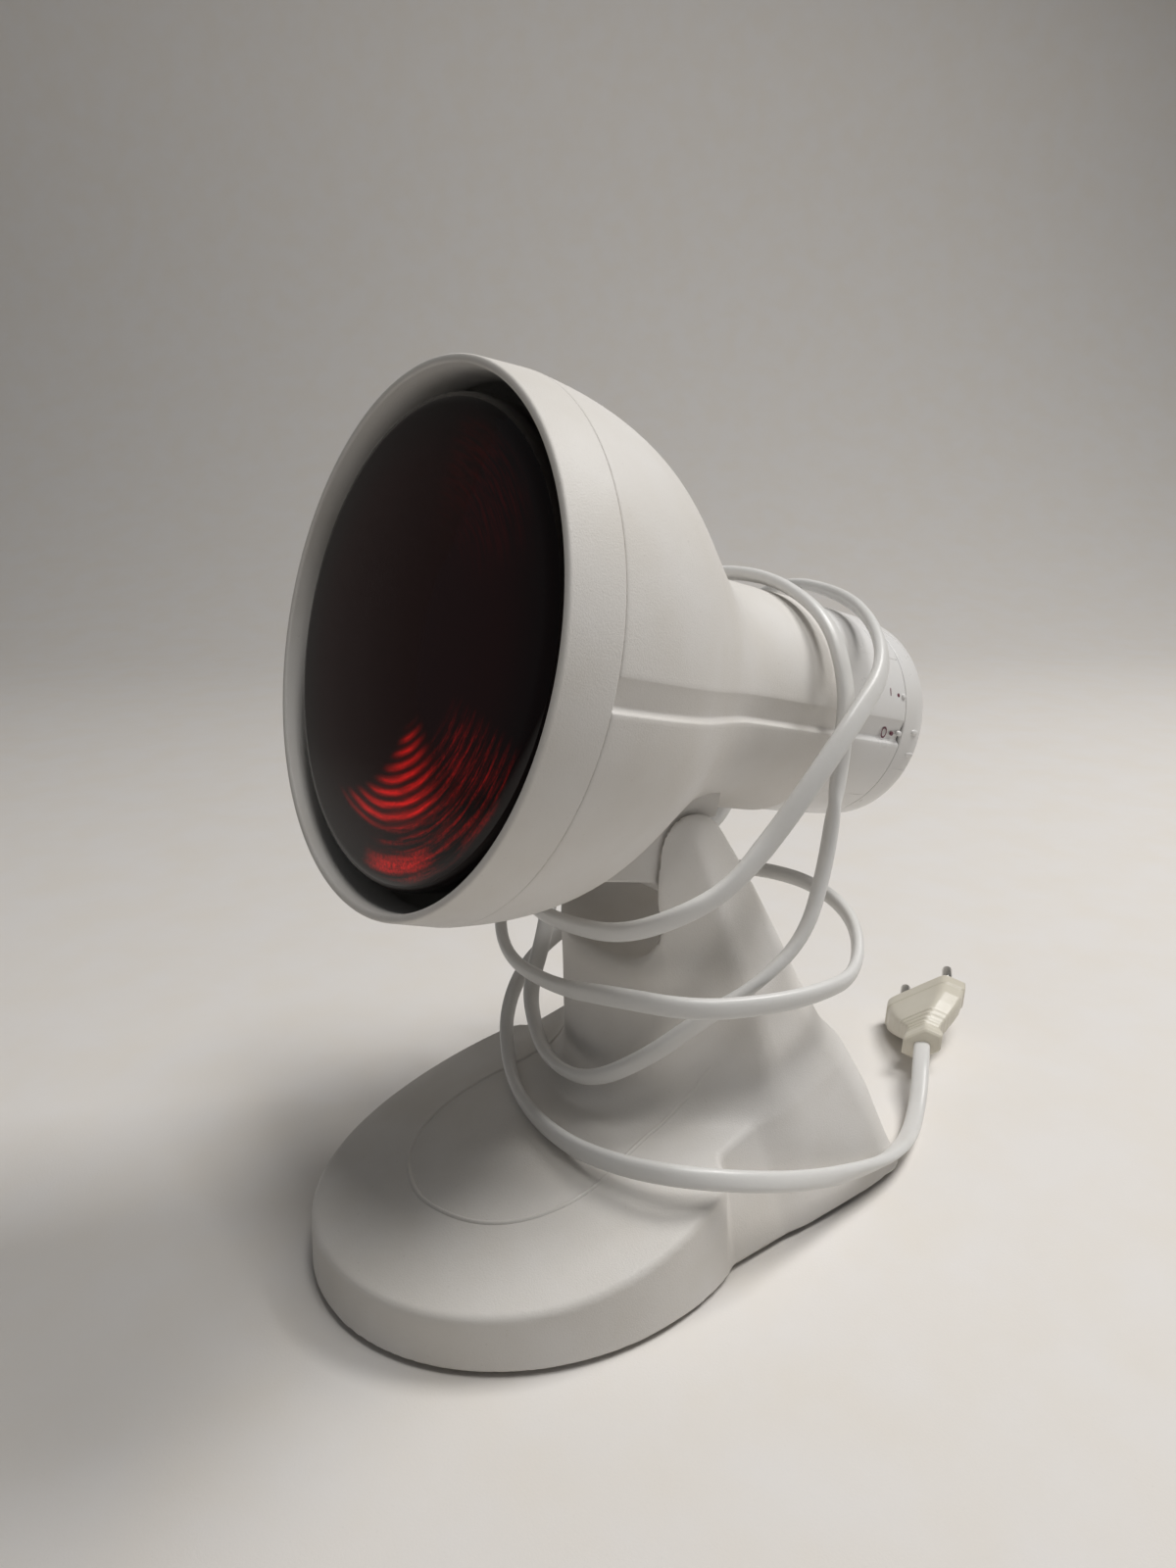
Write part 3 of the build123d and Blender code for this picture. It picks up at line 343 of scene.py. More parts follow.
def hull_field(y, z):
    """Seen from the side: a disc round the pivot, and the two straight lines that touch it from
    the corners below. Where a place looks at the disc between the two touching points, the disc
    counts, and elsewhere the nearer line."""
    dy, dz = y - PIVOT[1], z - PIVOT[2]
    values = []
    turns = []
    for corner, side in ((LUG_FRONT, -1), (float(rear_at(SLOT_FLOOR)), 1)):
        reach = hypot(corner - PIVOT[1], SLOT_FLOOR - PIVOT[2])
        lean = atan2(abs(corner - PIVOT[1]), PIVOT[2] - SLOT_FLOOR) - np.arcsin(LUG_RADIUS / reach)
        way = np.array([side * cos(lean), sin(lean)])
        values.append(dy * way[0] + dz * way[1] - LUG_RADIUS)
        turns.append(lean)
    straight = np.maximum(values[0], values[1])
    angle = np.arctan2(dz, dy)
    between = (angle > turns[1]) & (angle < np.pi - turns[0])
    return np.where(between, np.hypot(dy, dz) - LUG_RADIUS, straight)


def pylon_field(x, y, z):
    """A bulged nose, a hollow flank on each side, an upright arris, a flat side and a flat rear."""
    wide = np.abs(x)
    nose = np.hypot(x, y - NOSE_MIDDLE) - NOSE_RADIUS
    side = side_at(z)
    arris = ARRIS_Y - np.maximum(0, z - ARRIS_HEIGHT) * ARRIS_LEAN
    run_x, run_y = side - FLANK_X, arris - FLANK_Y
    run = np.hypot(run_x, run_y)
    share = np.clip(((wide - FLANK_X) * run_x + (y - FLANK_Y) * run_y) / run / run, 0, 1)
    flank = ((wide - FLANK_X) * run_y - (y - FLANK_Y) * run_x) / run
    flank = flank + HOLLOW * run * share * (1 - share)
    soft = np.interp(z, [70.0, 104.0], [1.0, 0.3])
    body = meet(nose, flank, 3.5 * soft)
    body = meet(body, (wide - side) * cos(SIDE_LEAN), 2.4 * soft)
    body = meet(body, (y - rear_at(z)) * cos(REAR_LEAN), REAR_ROUND * soft)
    return meet(body, hull_field(y, z), 1.6)


def slot_field(x, z):
    """Between the lugs: a straight-sided slot, open at the top, with round corners at its floor."""
    return meet(np.abs(x) - SLOT_HALF_WIDTH, SLOT_FLOOR - z, 10.0)


# %% The whole foot
POCKET_WALL, POCKET_DEPTH = 2.6, 4.6
POCKET_ROUND = 0.8
SEAT_RADIUS = 4.9
SEAT_X, SEAT_HALF_DEPTH = 23.4, 0.6


def foot_outside(x, y, z):
    """Lobe and pylon joined with a wide cove, and the slot cut out with rounded lips."""
    whole = merge(lobe_field(x, y, z), pylon_field(x, y, z), 9.0)
    return meet(whole, -slot_field(x, z), np.interp(z, [84.0, 104.0], [2.6, 1.2]))


def foot_field(x, y, z):
    """The foot, level at its rim, with a pocket for the floor plate and a seat for each bush."""
    outside = foot_outside(x, y, z)
    whole = meet(outside, RIM_HEIGHT - z, 0.9)
    pocket = meet(outside + POCKET_WALL, z - POCKET_DEPTH, POCKET_ROUND)
    seat_round = np.hypot(y - PIVOT[1], z - PIVOT[2]) - SEAT_RADIUS
    seat = np.maximum(seat_round, np.abs(np.abs(x) - SEAT_X) - SEAT_HALF_DEPTH)
    return np.maximum(meet(whole, -pocket, POCKET_ROUND), -seat)


foot_step, tongue_step = ((1.15, 0.8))
foot = net("foot", foot_field, (-64, -105, 0), (64, 79, 130), foot_step)

# %% [markdown]
# On the lobe a label panel stands out by a hair: all one sees is a thin line round it. A raised
# thread along the panel's outline is enough, and it follows the foot because its points settle on
# the foot's own field.

# %% The panel's outline
half = np.array([
    (0, -73.2, 23.8), (9, -71.6, 24), (17.5, -67.8, 24.3), (25, -61, 25.2), (30, -51.5, 26.6),
    (32.3, -41, 28.8), (31.8, -31, 31), (30, -21, 33.5), (29, -10, 37), (30.5, -2, 42),
    (34, 4.2, 50), (37, 7.5, 56),
])
outline = np.vstack([(half * [-1, 1, 1])[:0:-1], half])
knots = np.arange(len(outline))
fine = np.linspace(0, len(outline) - 1, 420)
outline = np.stack([smooth_curve(knots, outline[:, k], fine) for k in range(3)], axis=-1)


def thread(name, line, field, width, height, fade):
    """A low ridge along a line on the field's surface: its section is a cosine hump, and it sinks
    into the surface at both ends."""
    line = settle(field, line)
    normal = unit(slope_of(field, line))
    side = unit(np.cross(np.gradient(line, axis=0), normal))
    s = np.linspace(-1, 1, 9)
    places = np.arange(len(line))
    end = np.clip(np.minimum(places, places[::-1]) / fade, 0, 1)
    lift = height * np.cos(s * np.pi / 2)[None, :] * end[:, None] - 0.05
    apart = side[:, None] * (s * width / 2)[None, :, None]
    top = line[:, None] + apart + normal[:, None] * lift[..., None]
    low = line[:, None] + apart[:, ::-1] - normal[:, None] * 0.6
    return skin(name, np.concatenate([top, low[:, 1:-1]], axis=1))


panel_line = thread("panel_line", outline, foot_outside, 1.5, 0.6, 60)

# %% [markdown]
# ## The hood
# Outside, the bell is a turned shape, so a radius for each depth is nearly all of it. Along each
# side runs a cove that hides the parting between its halves. The rows of the grid near it lie at
# constant heights instead of constant angles, so the cove keeps straight, crisp edges.

# %% The bell's outline and its cove
BELL_FRONT, BELL_REAR, BELL_WALL = 13.8, 127.8, 2.2
BELL_DEPTHS = [13.8, 24, 36, 48, 58, 67, 75, 81, 86, 92, 99, 110, 127.8]
BELL_RADII = [69.2, 68.4, 66.1, 61.5, 55.3, 49.1, 43.7, 39.9, 37.2, 35.1, 34.3, 34.1, 34.1]
COVE_HEIGHTS = [-5.5, -4.5, -4.25, -4.0, -3.2, -2.9, -2.5, -1.0, 1.5, 3.0, 3.25, 3.5, 4.5]
COVE_DEPTHS = [0, 0, 0.08, 0.35, 1.45, 1.62, 1.6, 1.25, 0.62, 0.16, 0.05, 0, 0]


def rows_round(radius, above=70):
    """Angles for each ring of that radius, from just under the cove on the right, over the top,
    down the left side and back underneath: inside a cove they come from fixed heights, and
    between the coves they are spaced evenly."""
    heights = np.array(COVE_HEIGHTS)[None, :]
    right = np.arcsin(heights / radius[:, None])
    share = np.linspace(0, 1, above + 2)[1:-1][None, :]
    top = right[:, -1:] + share * (np.pi - 2 * right[:, -1:])
    left = np.pi - right[:, ::-1]
    under = left[:, -1:] + share * (2 * np.pi + right[:, :1] - left[:, -1:])
    cove = np.concatenate([COVE_DEPTHS, np.zeros(above), COVE_DEPTHS[::-1], np.zeros(above)])
    return np.concatenate([right, top, left, under], axis=1), cove[None, :]


def coved(name, profile, wall):
    """A turned profile with a cove along each side, and its inner wall that much further in. The
    ring of rows runs out along the outside and back along the inside."""
    depth, radius = profile[:, :1], profile[:, 1:]
    angle, cove = rows_round(profile[:, 1])
    outside = radius - cove
    inside = (radius - wall - 0.4 + 0 * angle)[::-1]
    rows = np.concatenate([depth, depth[::-1]])
    reach = np.concatenate([outside, inside])
    turn = np.concatenate([angle, angle[::-1]])
    return skin(name, at_head(rows, reach * np.cos(turn), reach * np.sin(turn)), rows_close=True)


def bell_radius(depth):
    """The bell's outer radius at a depth, a spline through its gauged sizes."""
    return smooth_curve(BELL_DEPTHS, BELL_RADII, depth)


def end_drop(depth, start, end, reach, drop):
    """How far the radius falls near both ends of a piece: a quarter of an ellipse."""
    edge = np.minimum(depth - start, end - depth)
    return drop * (1 - np.sqrt(1 - (1 - np.clip(edge / reach, 0, 1)) ** 2))


depth = np.concatenate(
    [[13.8, 13.85, 13.95, 14.1, 14.4], np.linspace(15.5, 126.8, 96), [127.3, 127.6, 127.75, 127.8]]
)
radius = bell_radius(depth) - end_drop(depth, BELL_FRONT, BELL_REAR, 0.6, 0.45)
bell = coved("bell", np.stack([depth, radius], axis=-1), BELL_WALL)

# %% [markdown]
# Under the bell a tongue reaches down between the lugs. Seen from the side it is a flat-bottomed
# block, a round barrel at the pivot and a short ledge under the neck, so it is one more field.

# %% The tongue
def box_field(depth, u, middle, half_depth, height, half_height):
    """A box seen from the side: about its middle depth and height."""
    return np.maximum(np.abs(depth - middle) - half_depth, np.abs(u - height) - half_height)


def tongue_field(depth, x, u):
    """Block, barrel and ledge, nearly as wide as the slot, outside the bell's inner wall."""
    block = box_field(depth, u, 69.4, 19.4, -36.7, 16.7)
    barrel = np.hypot(depth - PIVOT_DEPTH, u + PIVOT_DROP) - 12.4
    ledge = box_field(depth, u, 74.0, 23.9, -26.8, 6.8)
    side = merge(merge(block, barrel, 1.0), ledge, 1.5)
    solid = meet(side, np.abs(x) - (SLOT_HALF_WIDTH - 0.6), 0.8)
    return np.maximum(solid, bell_radius(np.clip(depth, 14, 127)) - 1.4 - np.hypot(x, u))


box = (46, -25, -60), (104, 25, -16)
tongue = net("tilt_tongue", tongue_field, *box, tongue_step, lambda p: at_head(*p.T))

# %% [markdown]
# The head turns on two short steel trunnions in plastic bushes. They are small turned parts about
# the pivot's own line, and show only as a dark ring in the gap between tongue and lug.

# %% Trunnions and bushes
def about_pivot(name, profile, side):
    """A closed profile of (x, radius) rows carried round the line through the pivot."""
    turn = circle(48)[None, :]
    x, reach = side * profile[:, :1] + 0 * turn, profile[:, 1:2]
    grid = np.stack([x, PIVOT[1] + reach * np.cos(turn), PIVOT[2] + reach * np.sin(turn)], axis=-1)
    return skin(name, grid, rows_close=True)


bush_profile = rounded([
    (22.9, 4.2, 0), (22.9, 4.8, 0.2), (23.9, 4.8, 0.2), (23.9, 3.5, 0.1), (22.9, 3.5, 0.1),
    (22.9, 4.2, 0),
])[:-1]
trunnion_profile = rounded([(9.0, 0.3, 0), (9.0, 3.4, 0.4), (23.85, 3.4, 0.4), (23.85, 0.3, 0)])
SIDES = ((1, -1), (2, 1))
bushes = [about_pivot(f"bush_{n}", bush_profile, side) for n, side in SIDES]
trunnions = [about_pivot(f"trunnion_{n}", trunnion_profile, side) for n, side in SIDES]

# %% [markdown]
# The front ring is a separate turned part: a thin lip, a smooth inside, and a fine gap where it
# meets the bell. Only its edges need thought, so each corner gets its own small rounding.

# %% The front ring
ring_profile = rounded([
    (13.75, 66.6, 0), (13.75, 69.2, 0.45), (0, 68.0, 0.9), (0, 65.9, 0.9), (9.0, 65.7, 1.0),
    (13.75, 65.2, 0.5), (13.75, 66.6, 0),
])[:-1]
ring = turned("front_ring_skin", ring_profile, 256, rows_close=True)

# %% [markdown]
# ## The bulb's glass
# The front of the bulb is thick pressed glass: nearly flat, with a rounded edge, and dark red. It
# is turned as well, with more rows where its edge bends.

# %% The glass
glass_profile = rounded([
    (0.35, 0.4, 0), (0.5, 16, 6), (1.1, 38, 10), (2.3, 60.9, 4.2), (14.0, 60.9, 1.0),
    (14.0, 56.0, 0), (14.0, 0.4, 0),
], 14)
glass = turned("bulb_glass", glass_profile, 256)

# %% [markdown]
# ## The rear of the head
# A glossier sleeve carries on behind the bell, with the same cove along each side, and the turning
# cap of the switch closes it.

# %% The sleeve
SLEEVE_FRONT, SLEEVE_REAR, SLEEVE_WALL = 127.9, 158.9, 2.0
SLEEVE_DEPTHS = [127.8, 131, 140, 150, 158.9]
SLEEVE_RADII = [33.2, 33.35, 33.6, 33.6, 33.45]
depth = np.concatenate(
    [[127.9, 127.95, 128.05, 128.3], np.linspace(128.8, 158.2, 60), [158.5, 158.7, 158.85, 158.9]]
)
radius = smooth_curve(SLEEVE_DEPTHS, SLEEVE_RADII, depth)
radius = radius - end_drop(depth, SLEEVE_FRONT, SLEEVE_REAR, 0.5, 0.4)
sleeve = coved("rear_sleeve", np.stack([depth, radius], axis=-1), SLEEVE_WALL)

# %% The switch cap
cap_outside = rounded([
    (159.25, 30.8, 0), (159.25, 33.3, 0.35), (165.5, 33.25, 1.0), (170.8, 32.4, 3.2),
    (170.8, 24.0, 1.2), (169.9, 22.5, 1.2), (169.9, 20.5, 0), (169.9, 14.0, 0), (169.9, 7.0, 0),
    (169.9, 2.0, 0), (169.9, 0.2, 0),
], 8)
cap_inside = [(168.0, 0.2), (168.0, 30.8)]
cap = turned("cap_skin", np.vstack([cap_outside, cap_inside]), 192, rows_close=True)

# %% [markdown]
# Marks, studs and ribs are all the same thing: a small pad that is bent round the sleeve, so that
# a bar, a dot and a rib differ only in their numbers. The ring of the O is a thin hoop.

# %% Pads bent round the sleeve
def bent(name, place, plan, reach, radius, rows_close=False):
    """A plan of two lengths, along the axis and round it, bent round the sleeve at its place."""
    (depth, angle), (along, across) = place, plan
    way = radians(angle) + across / radius
    return skin(name, at_head(depth + along, reach * np.cos(way), reach * np.sin(way)), rows_close)


def pad(name, depth, angle, long, wide, high, radius=33.5, power=4.0):
    """A low cushion of that length along the axis and width round it: its height is the radius
    plus high times a dome, and its outline is a superellipse."""
    turn = circle(48)[None, :]
    reach = np.linspace(0.04, 1, 8)[:, None]
    c, s = np.cos(turn), np.sin(turn)
    size = (np.abs(c) ** power + np.abs(s) ** power) ** (-1 / power)
    a, b = reach * size * c * long / 2, reach * size * s * wide / 2
    lift = high * np.sqrt(np.clip(1 - reach**4, 0, 1)) + 0 * turn
    low = np.full_like(lift[-1:], -0.5)
    a, b, lift = (np.concatenate([v, w]) for v, w in ((a, a[-1:]), (b, b[-1:]), (lift, low)))
    return bent(name, (depth, angle), (a, b), radius + lift, radius)


def hoop(name, depth, angle, long, wide, thick, radius):
    """A flat ring bent round the sleeve: a small circle carried round an oval."""
    turn, small = circle(64)[:, None], circle(10)[None, :]
    out = 1 + thick / long * np.cos(small)
    plan = np.cos(turn) * long / 2 * out, np.sin(turn) * wide / 2 * out
    reach = radius + 0.06 * np.sin(small) + 0 * turn
    return bent(name, (depth, angle), plan, reach, radius, rows_close=True)


marks = [
    pad("mark_on", 150.9, 19.6, 0.45, 2.5, 0.06, 33.6),
    pad("dot_on", 154.9, 18.6, 1.25, 1.25, 0.06, 33.55, 2.0),
    pad("dot_off", 154.4, -2.1, 1.3, 1.3, 0.06, 33.0, 2.0),
]
studs = [
    pad("stud_on", 157.3, 18.5, 1.9, 1.7, 0.6, 33.5, 2.4),
    pad("stud_off", 157.3, -1.4, 1.9, 1.7, 0.6, 33.3, 2.4),
    pad("cap_pointer", 165.0, 0.4, 3.2, 1.8, 0.55, 33.2, 2.6),
    pad("cap_bar", 166.0, -12.0, 4.2, 1.3, 0.4, 33.1),
    pad("rib_upper", 147.5, 39.7, 21.0, 0.45, 0.16, 33.5, 8.0),
    pad("rib_lower", 147.5, -41.7, 21.0, 0.45, 0.16, 33.5, 8.0),
    pad("cap_rib", 163.5, -21.8, 7.5, 0.6, 0.22, 33.1, 8.0),
]
marks.append(hoop("mark_off", 150.6, -2.1, 2.2, 3.0, 0.42, 32.8))

# %% [markdown]
# ## The lead
# The lead leaves the rear of the bell through a strain relief and is wound round the neck and the
# foot before it ends in its plug. Its middle line is one smooth curve through a few dozen places.
# The lead is flat, and a flat lead bends easily only about its wide side, so its width follows the
# direction about which the curve turns.

# %% The route and its smooth line
ROUTE = [
    (-54.3, 32.9, 127.5), (-63.9, 31.8, 123.3), (-72.6, 27.6, 110.6), (-73.2, 23.4, 92.6),
    (-64.6, 17.8, 75.2), (-54.3, 7.4, 61.7), (-43.9, -6.2, 50.4), (-27, -16, 46.9),
    (-8, -23.5, 44.6), (12.9, -23.3, 47.5), (27.8, -13.1, 59.3), (37.5, -2.3, 71.6),
    (45.2, 12.3, 81.3), (48.5, 26.7, 92.6), (46.1, 36.2, 110.3), (43.9, 41.6, 128.4),
    (42.7, 45.2, 146.5), (40.2, 48.1, 163), (27.5, 52.1, 180.1), (-0.1, 52.1, 189.7),
    (-26.9, 39.2, 186.2), (-44, 25.1, 172.4), (-51, 17, 150.3), (-50.8, 8.7, 127.1),
    (-44.4, -4.5, 107.2), (-30.2, -19.2, 95), (-9.7, -26.3, 95.6), (10.3, -27.5, 97.9),
    (27.8, -23.3, 99.8), (39.2, -12.6, 105.9), (43.7, 1.1, 111.8), (46.5, 13.5, 124),
    (50.3, 25.9, 140.3), (50.9, 40.6, 155.3), (45.2, 58.4, 165.2), (29.8, 71.5, 174.9),
    (9.8, 80.7, 180.8), (-14.2, 80, 183.8), (-35.5, 78.4, 171.9), (-47.1, 82.2, 148.4),
    (-48.6, 92, 122.2), (-42.1, 85.3, 96.7), (-41.4, 60.6, 85.1), (-43.3, 33.3, 90.4),
    (-45.9, 6.9, 96.9), (-39.6, -18.3, 93.1), (-21.3, -31.4, 79), (3.4, -29.4, 76.7),
    (25.8, -23.5, 80.8), (44.3, -11.9, 80.6), (51.7, 6.2, 79.1), (53.9, 26.8, 77),
    (50.6, 48.3, 75.2), (36.3, 64.3, 83.1), (14.5, 69.8, 87.3), (-8.5, 66.8, 86.8),
    (-30.4, 58, 83.3), (-47.7, 43.1, 74.3), (-58.1, 23.7, 62.8), (-58.5, 2.1, 51.9),
    (-45.5, -15.4, 43.3), (-26.2, -26.7, 35.7), (-5.3, -35, 35.8), (17, -36.4, 35.3),
    (37.7, -32.1, 37.4), (55, -21.9, 38.9), (63.2, -3.4, 34), (62.8, 19, 24.4), (60.4, 40, 16.4),
    (58.2, 58.5, 11.4), (54, 72.5, 8.6), (48, 84.3, 4.8), (42.4, 94.4, 4.8), (36.4, 104.2, 8.2),
    (29.45, 113.62, 12.7), (23.4, 122.2, 12.7),
]
curve = bpy.data.curves.new("lead_line", "CURVE")
curve.dimensions = "3D"
curve.resolution_u = 12
spline = curve.splines.new("NURBS")
spline.points.add(len(ROUTE) - 1)
spline.points.foreach_set("co", np.hstack([np.array(ROUTE) * MM, np.ones((len(ROUTE), 1))]).ravel())
spline.order_u = 3
spline.use_endpoint_u = True
holder = bpy.data.objects.new("lead_line", curve)
line_mesh = bpy.data.meshes.new_from_object(holder)
line = np.empty(len(line_mesh.vertices) * 3)
line_mesh.vertices.foreach_get("co", line)
line = line.reshape(-1, 3) / MM
bpy.data.objects.remove(holder)
way = np.concatenate([[0], np.cumsum(np.linalg.norm(np.diff(line, axis=0), axis=1))])
lead_length = way[-1]
even = np.linspace(0, lead_length, 760)
line = np.stack([np.interp(even, way, line[:, k]) for k in range(3)], axis=-1)
print("lead:", round(lead_length, 1), "mm")

# %% The flat lead
def carried(ahead):
    """A sideways direction carried along the line without twisting: each step keeps what is left
    of the last direction across the line. This is the only loop, over the line's places."""
    side = np.zeros_like(ahead)
    last = np.cross(ahead[0], [0.0, 0, 1])
    for number, way_on in enumerate(ahead):
        last = last - way_on * (last @ way_on)
        last = last / np.linalg.norm(last)
        side[number] = last
    return side


def flat_angles(line, ahead, side, reach):
    """How far the lead's wide side turns from the carried direction. The wide side wants to point
    along the axis about which the line bends. An angle and its opposite are the same for an oval,
    so twice the angle is averaged along the lead as a complex number, weighted by the bend."""
    bend = np.cross(ahead, np.gradient(ahead, axis=0))
    up = np.cross(ahead, side)
    lean = np.arctan2((bend * up).sum(axis=-1), (bend * side).sum(axis=-1))
    number = np.linalg.norm(bend, axis=-1) * np.exp(2j * lean)
    window = np.exp(-0.5 * (np.arange(-3 * reach, 3 * reach + 1) / reach) ** 2)
    number = np.convolve(np.pad(number, 3 * reach, mode="edge"), window, mode="valid")
    return np.unwrap(np.angle(number)) / 2


LEAD_HALF_WIDTH, LEAD_HALF_HEIGHT = 2.95, 1.85
LEAD_POWER = 2.5  # 2 is an ellipse, and more is fuller
ahead = unit(np.gradient(line, axis=0))
side = carried(ahead)
lean = flat_angles(line, ahead, side, 12)
up = np.cross(ahead, side)
wide_way = side * np.cos(lean)[:, None] + up * np.sin(lean)[:, None]
flat_way = np.cross(ahead, wide_way)
c, s = np.cos(circle(20)), np.sin(circle(20))
oval = (np.abs(c) ** LEAD_POWER + np.abs(s) ** LEAD_POWER) ** (-1 / LEAD_POWER)
wide_part = wide_way[:, None] * (LEAD_HALF_WIDTH * oval * c)[None, :, None]
flat_part = flat_way[:, None] * (LEAD_HALF_HEIGHT * oval * s)[None, :, None]
lead = skin("lead", line[:, None] + wide_part + flat_part)

# %% [markdown]
# ## The plug
# A flat moulded plug: six-sided across, waisted behind its grip and widest at its front band. A
# six-sided ring with soft corners comes from one formula, so the whole body is that ring carried
# along the plug while its half width and half height change.

# %% The plug's directions and its body
ENTRY = np.array([23.4, 122.2, 12.7])
YAW, ROLL = radians(125.2), radians(34)
PLUG_WAY = np.array([cos(YAW), sin(YAW), 0])
PLUG_SIDE = np.array([-sin(YAW), cos(YAW), 0]) * cos(ROLL) - np.array([0, 0, 1]) * sin(ROLL)
PLUG_UP = np.cross(PLUG_WAY, PLUG_SIDE)


def at_plug(depth, x, u):
    """The lead's entry, plus depth towards the pins, x across and u upwards."""
    depth, x, u = (v[..., None] for v in np.broadcast_arrays(depth, x, u))
    return ENTRY + depth * PLUG_WAY + x * PLUG_SIDE + u * PLUG_UP


def six_sided(half_width, half_height, turns=96, power=16.0):
    """Rings of a flat hexagon with soft corners. In each direction, every side says how far away
    it is; the ring lies at one over the power mean of one over these distances."""
    angle = circle(turns)[None, :]
    c, s = np.abs(np.cos(angle)), np.abs(np.sin(angle))
    w, h = half_width[:, None], half_height[:, None]
    bevel = 0.75 * h
    size = ((s / h) ** power + ((c * h + s * bevel) / (h * w)) ** power) ** (-1 / power)
    return size * np.cos(angle), size * np.sin(angle)


# Depth, half width and half height.
GRIP = np.array([
    (0.0, 4.6, 3.2), (0.5, 7.4, 4.5), (1.2, 8.4, 5.0), (3.0, 8.6, 5.1), (6.0, 7.6, 4.8),
    (8.5, 6.9, 4.6), (11.0, 8.0, 4.9), (15.0, 10.6, 5.5), (20.0, 13.6, 6.0), (25.0, 15.9, 6.3),
    (29.0, 16.7, 6.45), (30.4, 16.9, 6.5), (30.8, 17.3, 6.75), (31.2, 17.6, 6.85),
    (33.0, 17.7, 6.88), (36.5, 17.6, 6.85), (37.4, 17.3, 6.6), (37.85, 16.7, 6.1),
    (38.0, 15.6, 5.2),
])
RIB_START, RIB_END, RIB_HEIGHT = 4.5, 16.5, 0.32
depths, widths, heights = GRIP.T
fine = np.unique(np.concatenate([depths, np.linspace(0, 38, 190)]))
w, h = np.interp(fine, depths, widths), np.interp(fine, depths, heights)
rib_ends = np.clip(np.minimum(fine - RIB_START, RIB_END - fine), 0, 1)
rib_wave = np.sin(fine * 2.9)
ribs = rib_ends * RIB_HEIGHT * np.sign(rib_wave) * np.sqrt(np.abs(rib_wave))
x, u = six_sided(w + 0.2 * ribs, h + ribs)
plug = skin("plug_skin", at_plug(fine[:, None], x, u))

# %% The pins
PIN_PLACES = ((1, -9.5), (2, 9.5))


def pin_part(name, x, start, end, radius, tip):
    """A rod towards the plug's front, rounded at its end."""
    a = np.linspace(0, np.pi / 2, 8)
    depth = np.concatenate([[start, start + 0.3], end - tip + tip * np.sin(a)])
    reach = np.concatenate([[radius - 0.1, radius], radius - tip + tip * np.cos(a)])[:, None]
    turn = circle(40)[None, :]
    return skin(name, at_plug(depth[:, None], x + reach * np.cos(turn), reach * np.sin(turn)))


pin_sleeves = [pin_part(f"pin_sleeve_{n}", x, 37.0, 48.0, 1.95, 0.3) for n, x in PIN_PLACES]
pins = [pin_part(f"pin_{n}", x, 47.0, 57.0, 2.0, 1.4) for n, x in PIN_PLACES]

# %% The strain relief
CLAMP = radians(-155)
CLAMP_OUT = cos(CLAMP) * ACROSS + sin(CLAMP) * UP_WAY
CLAMP_FOOT = at_head(113.0, 0.0, 0.0)
RIDGES_START, RIDGES_END, RIDGE_PITCH = 37.0, 58.0, 2.6
RIDGE_RADIUS, RIDGE_TAPER = 4.9, 0.055
rows = [(30.0, 4.9), (34.0, 4.9), (34.1, 6.4), (35.4, 6.7), (36.1, 6.3), (36.3, 4.6)]
for start in np.arange(RIDGES_START, RIDGES_END, RIDGE_PITCH):
    full = RIDGE_RADIUS - (start - RIDGES_START) * RIDGE_TAPER
    rows += [(start, full - 0.8), (start + 0.25, full)]
    rows += [(start + 1.6, full - 0.05), (start + 1.85, full - 0.85)]
rows = np.array(rows + [(59.3, 3.0), (60.0, 2.6)])
turn = circle(56)
out, reach = rows[:, :1], rows[:, 1:]
flatten = 1 - 0.22 * np.clip((out - RIDGES_START) / 20, 0, 1)
relief = skin(
    "strain_relief",
    CLAMP_FOOT
    + out[..., None] * CLAMP_OUT
    + (reach * np.cos(turn))[..., None] * DEPTH_WAY
    + (reach * flatten * np.sin(turn))[..., None] * np.cross(CLAMP_OUT, DEPTH_WAY),
)

# %% [markdown]
# ## What each piece is
# Every piece rides on a body, has the material slot of its finish, and may stand for CAD nodes.

# %% Bodies, slots and nodes
pads = [(piece, "switch" if piece.name.startswith("cap") else "head") for piece in studs + marks]
belongings = [
    (foot, "base", "shell", "base_shell"),
    (panel_line, "base", "shell"),
    (bell, "head", "shell", "hood_upper", "hood_lower"),
    (tongue, "head", "shell"),
    (bushes[0], "base", "nylon", "tilt_bushes"),
    (bushes[1], "base", "nylon"),
    (trunnions[0], "head", "steel", "tilt_pins"),
    (trunnions[1], "head", "steel"),
    (ring, "head", "shell", "front_ring"),
    (glass, "head", "red_glass", "bulb_lens"),
    (sleeve, "head", "rear_shell", "rear_housing"),
    (cap, "switch", "rear_shell", "switch_cap"),
    *[(piece, body, "rear_shell") for piece, body in pads],
    (plug, "base", "plug", "plug_body"),
    *[(piece, "base", "plug") for piece in pin_sleeves],
    (pins[0], "base", "pins", "plug_pins"),
    (pins[1], "base", "pins"),
    (relief, "head", "cord", "cord_clamp"),
]
for piece, body, slot, *nodes in belongings:
    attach(piece, body)
    if nodes:
        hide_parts(*nodes)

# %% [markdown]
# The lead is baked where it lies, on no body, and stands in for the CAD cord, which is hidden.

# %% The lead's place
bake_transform(lead)
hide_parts("mains_cord")

# %% [markdown]
# ## Finishes
# Shader maths reads best as plain expressions. A small class wraps a socket, so that adding or
# multiplying two of them adds a Math node, and one method makes every other node.

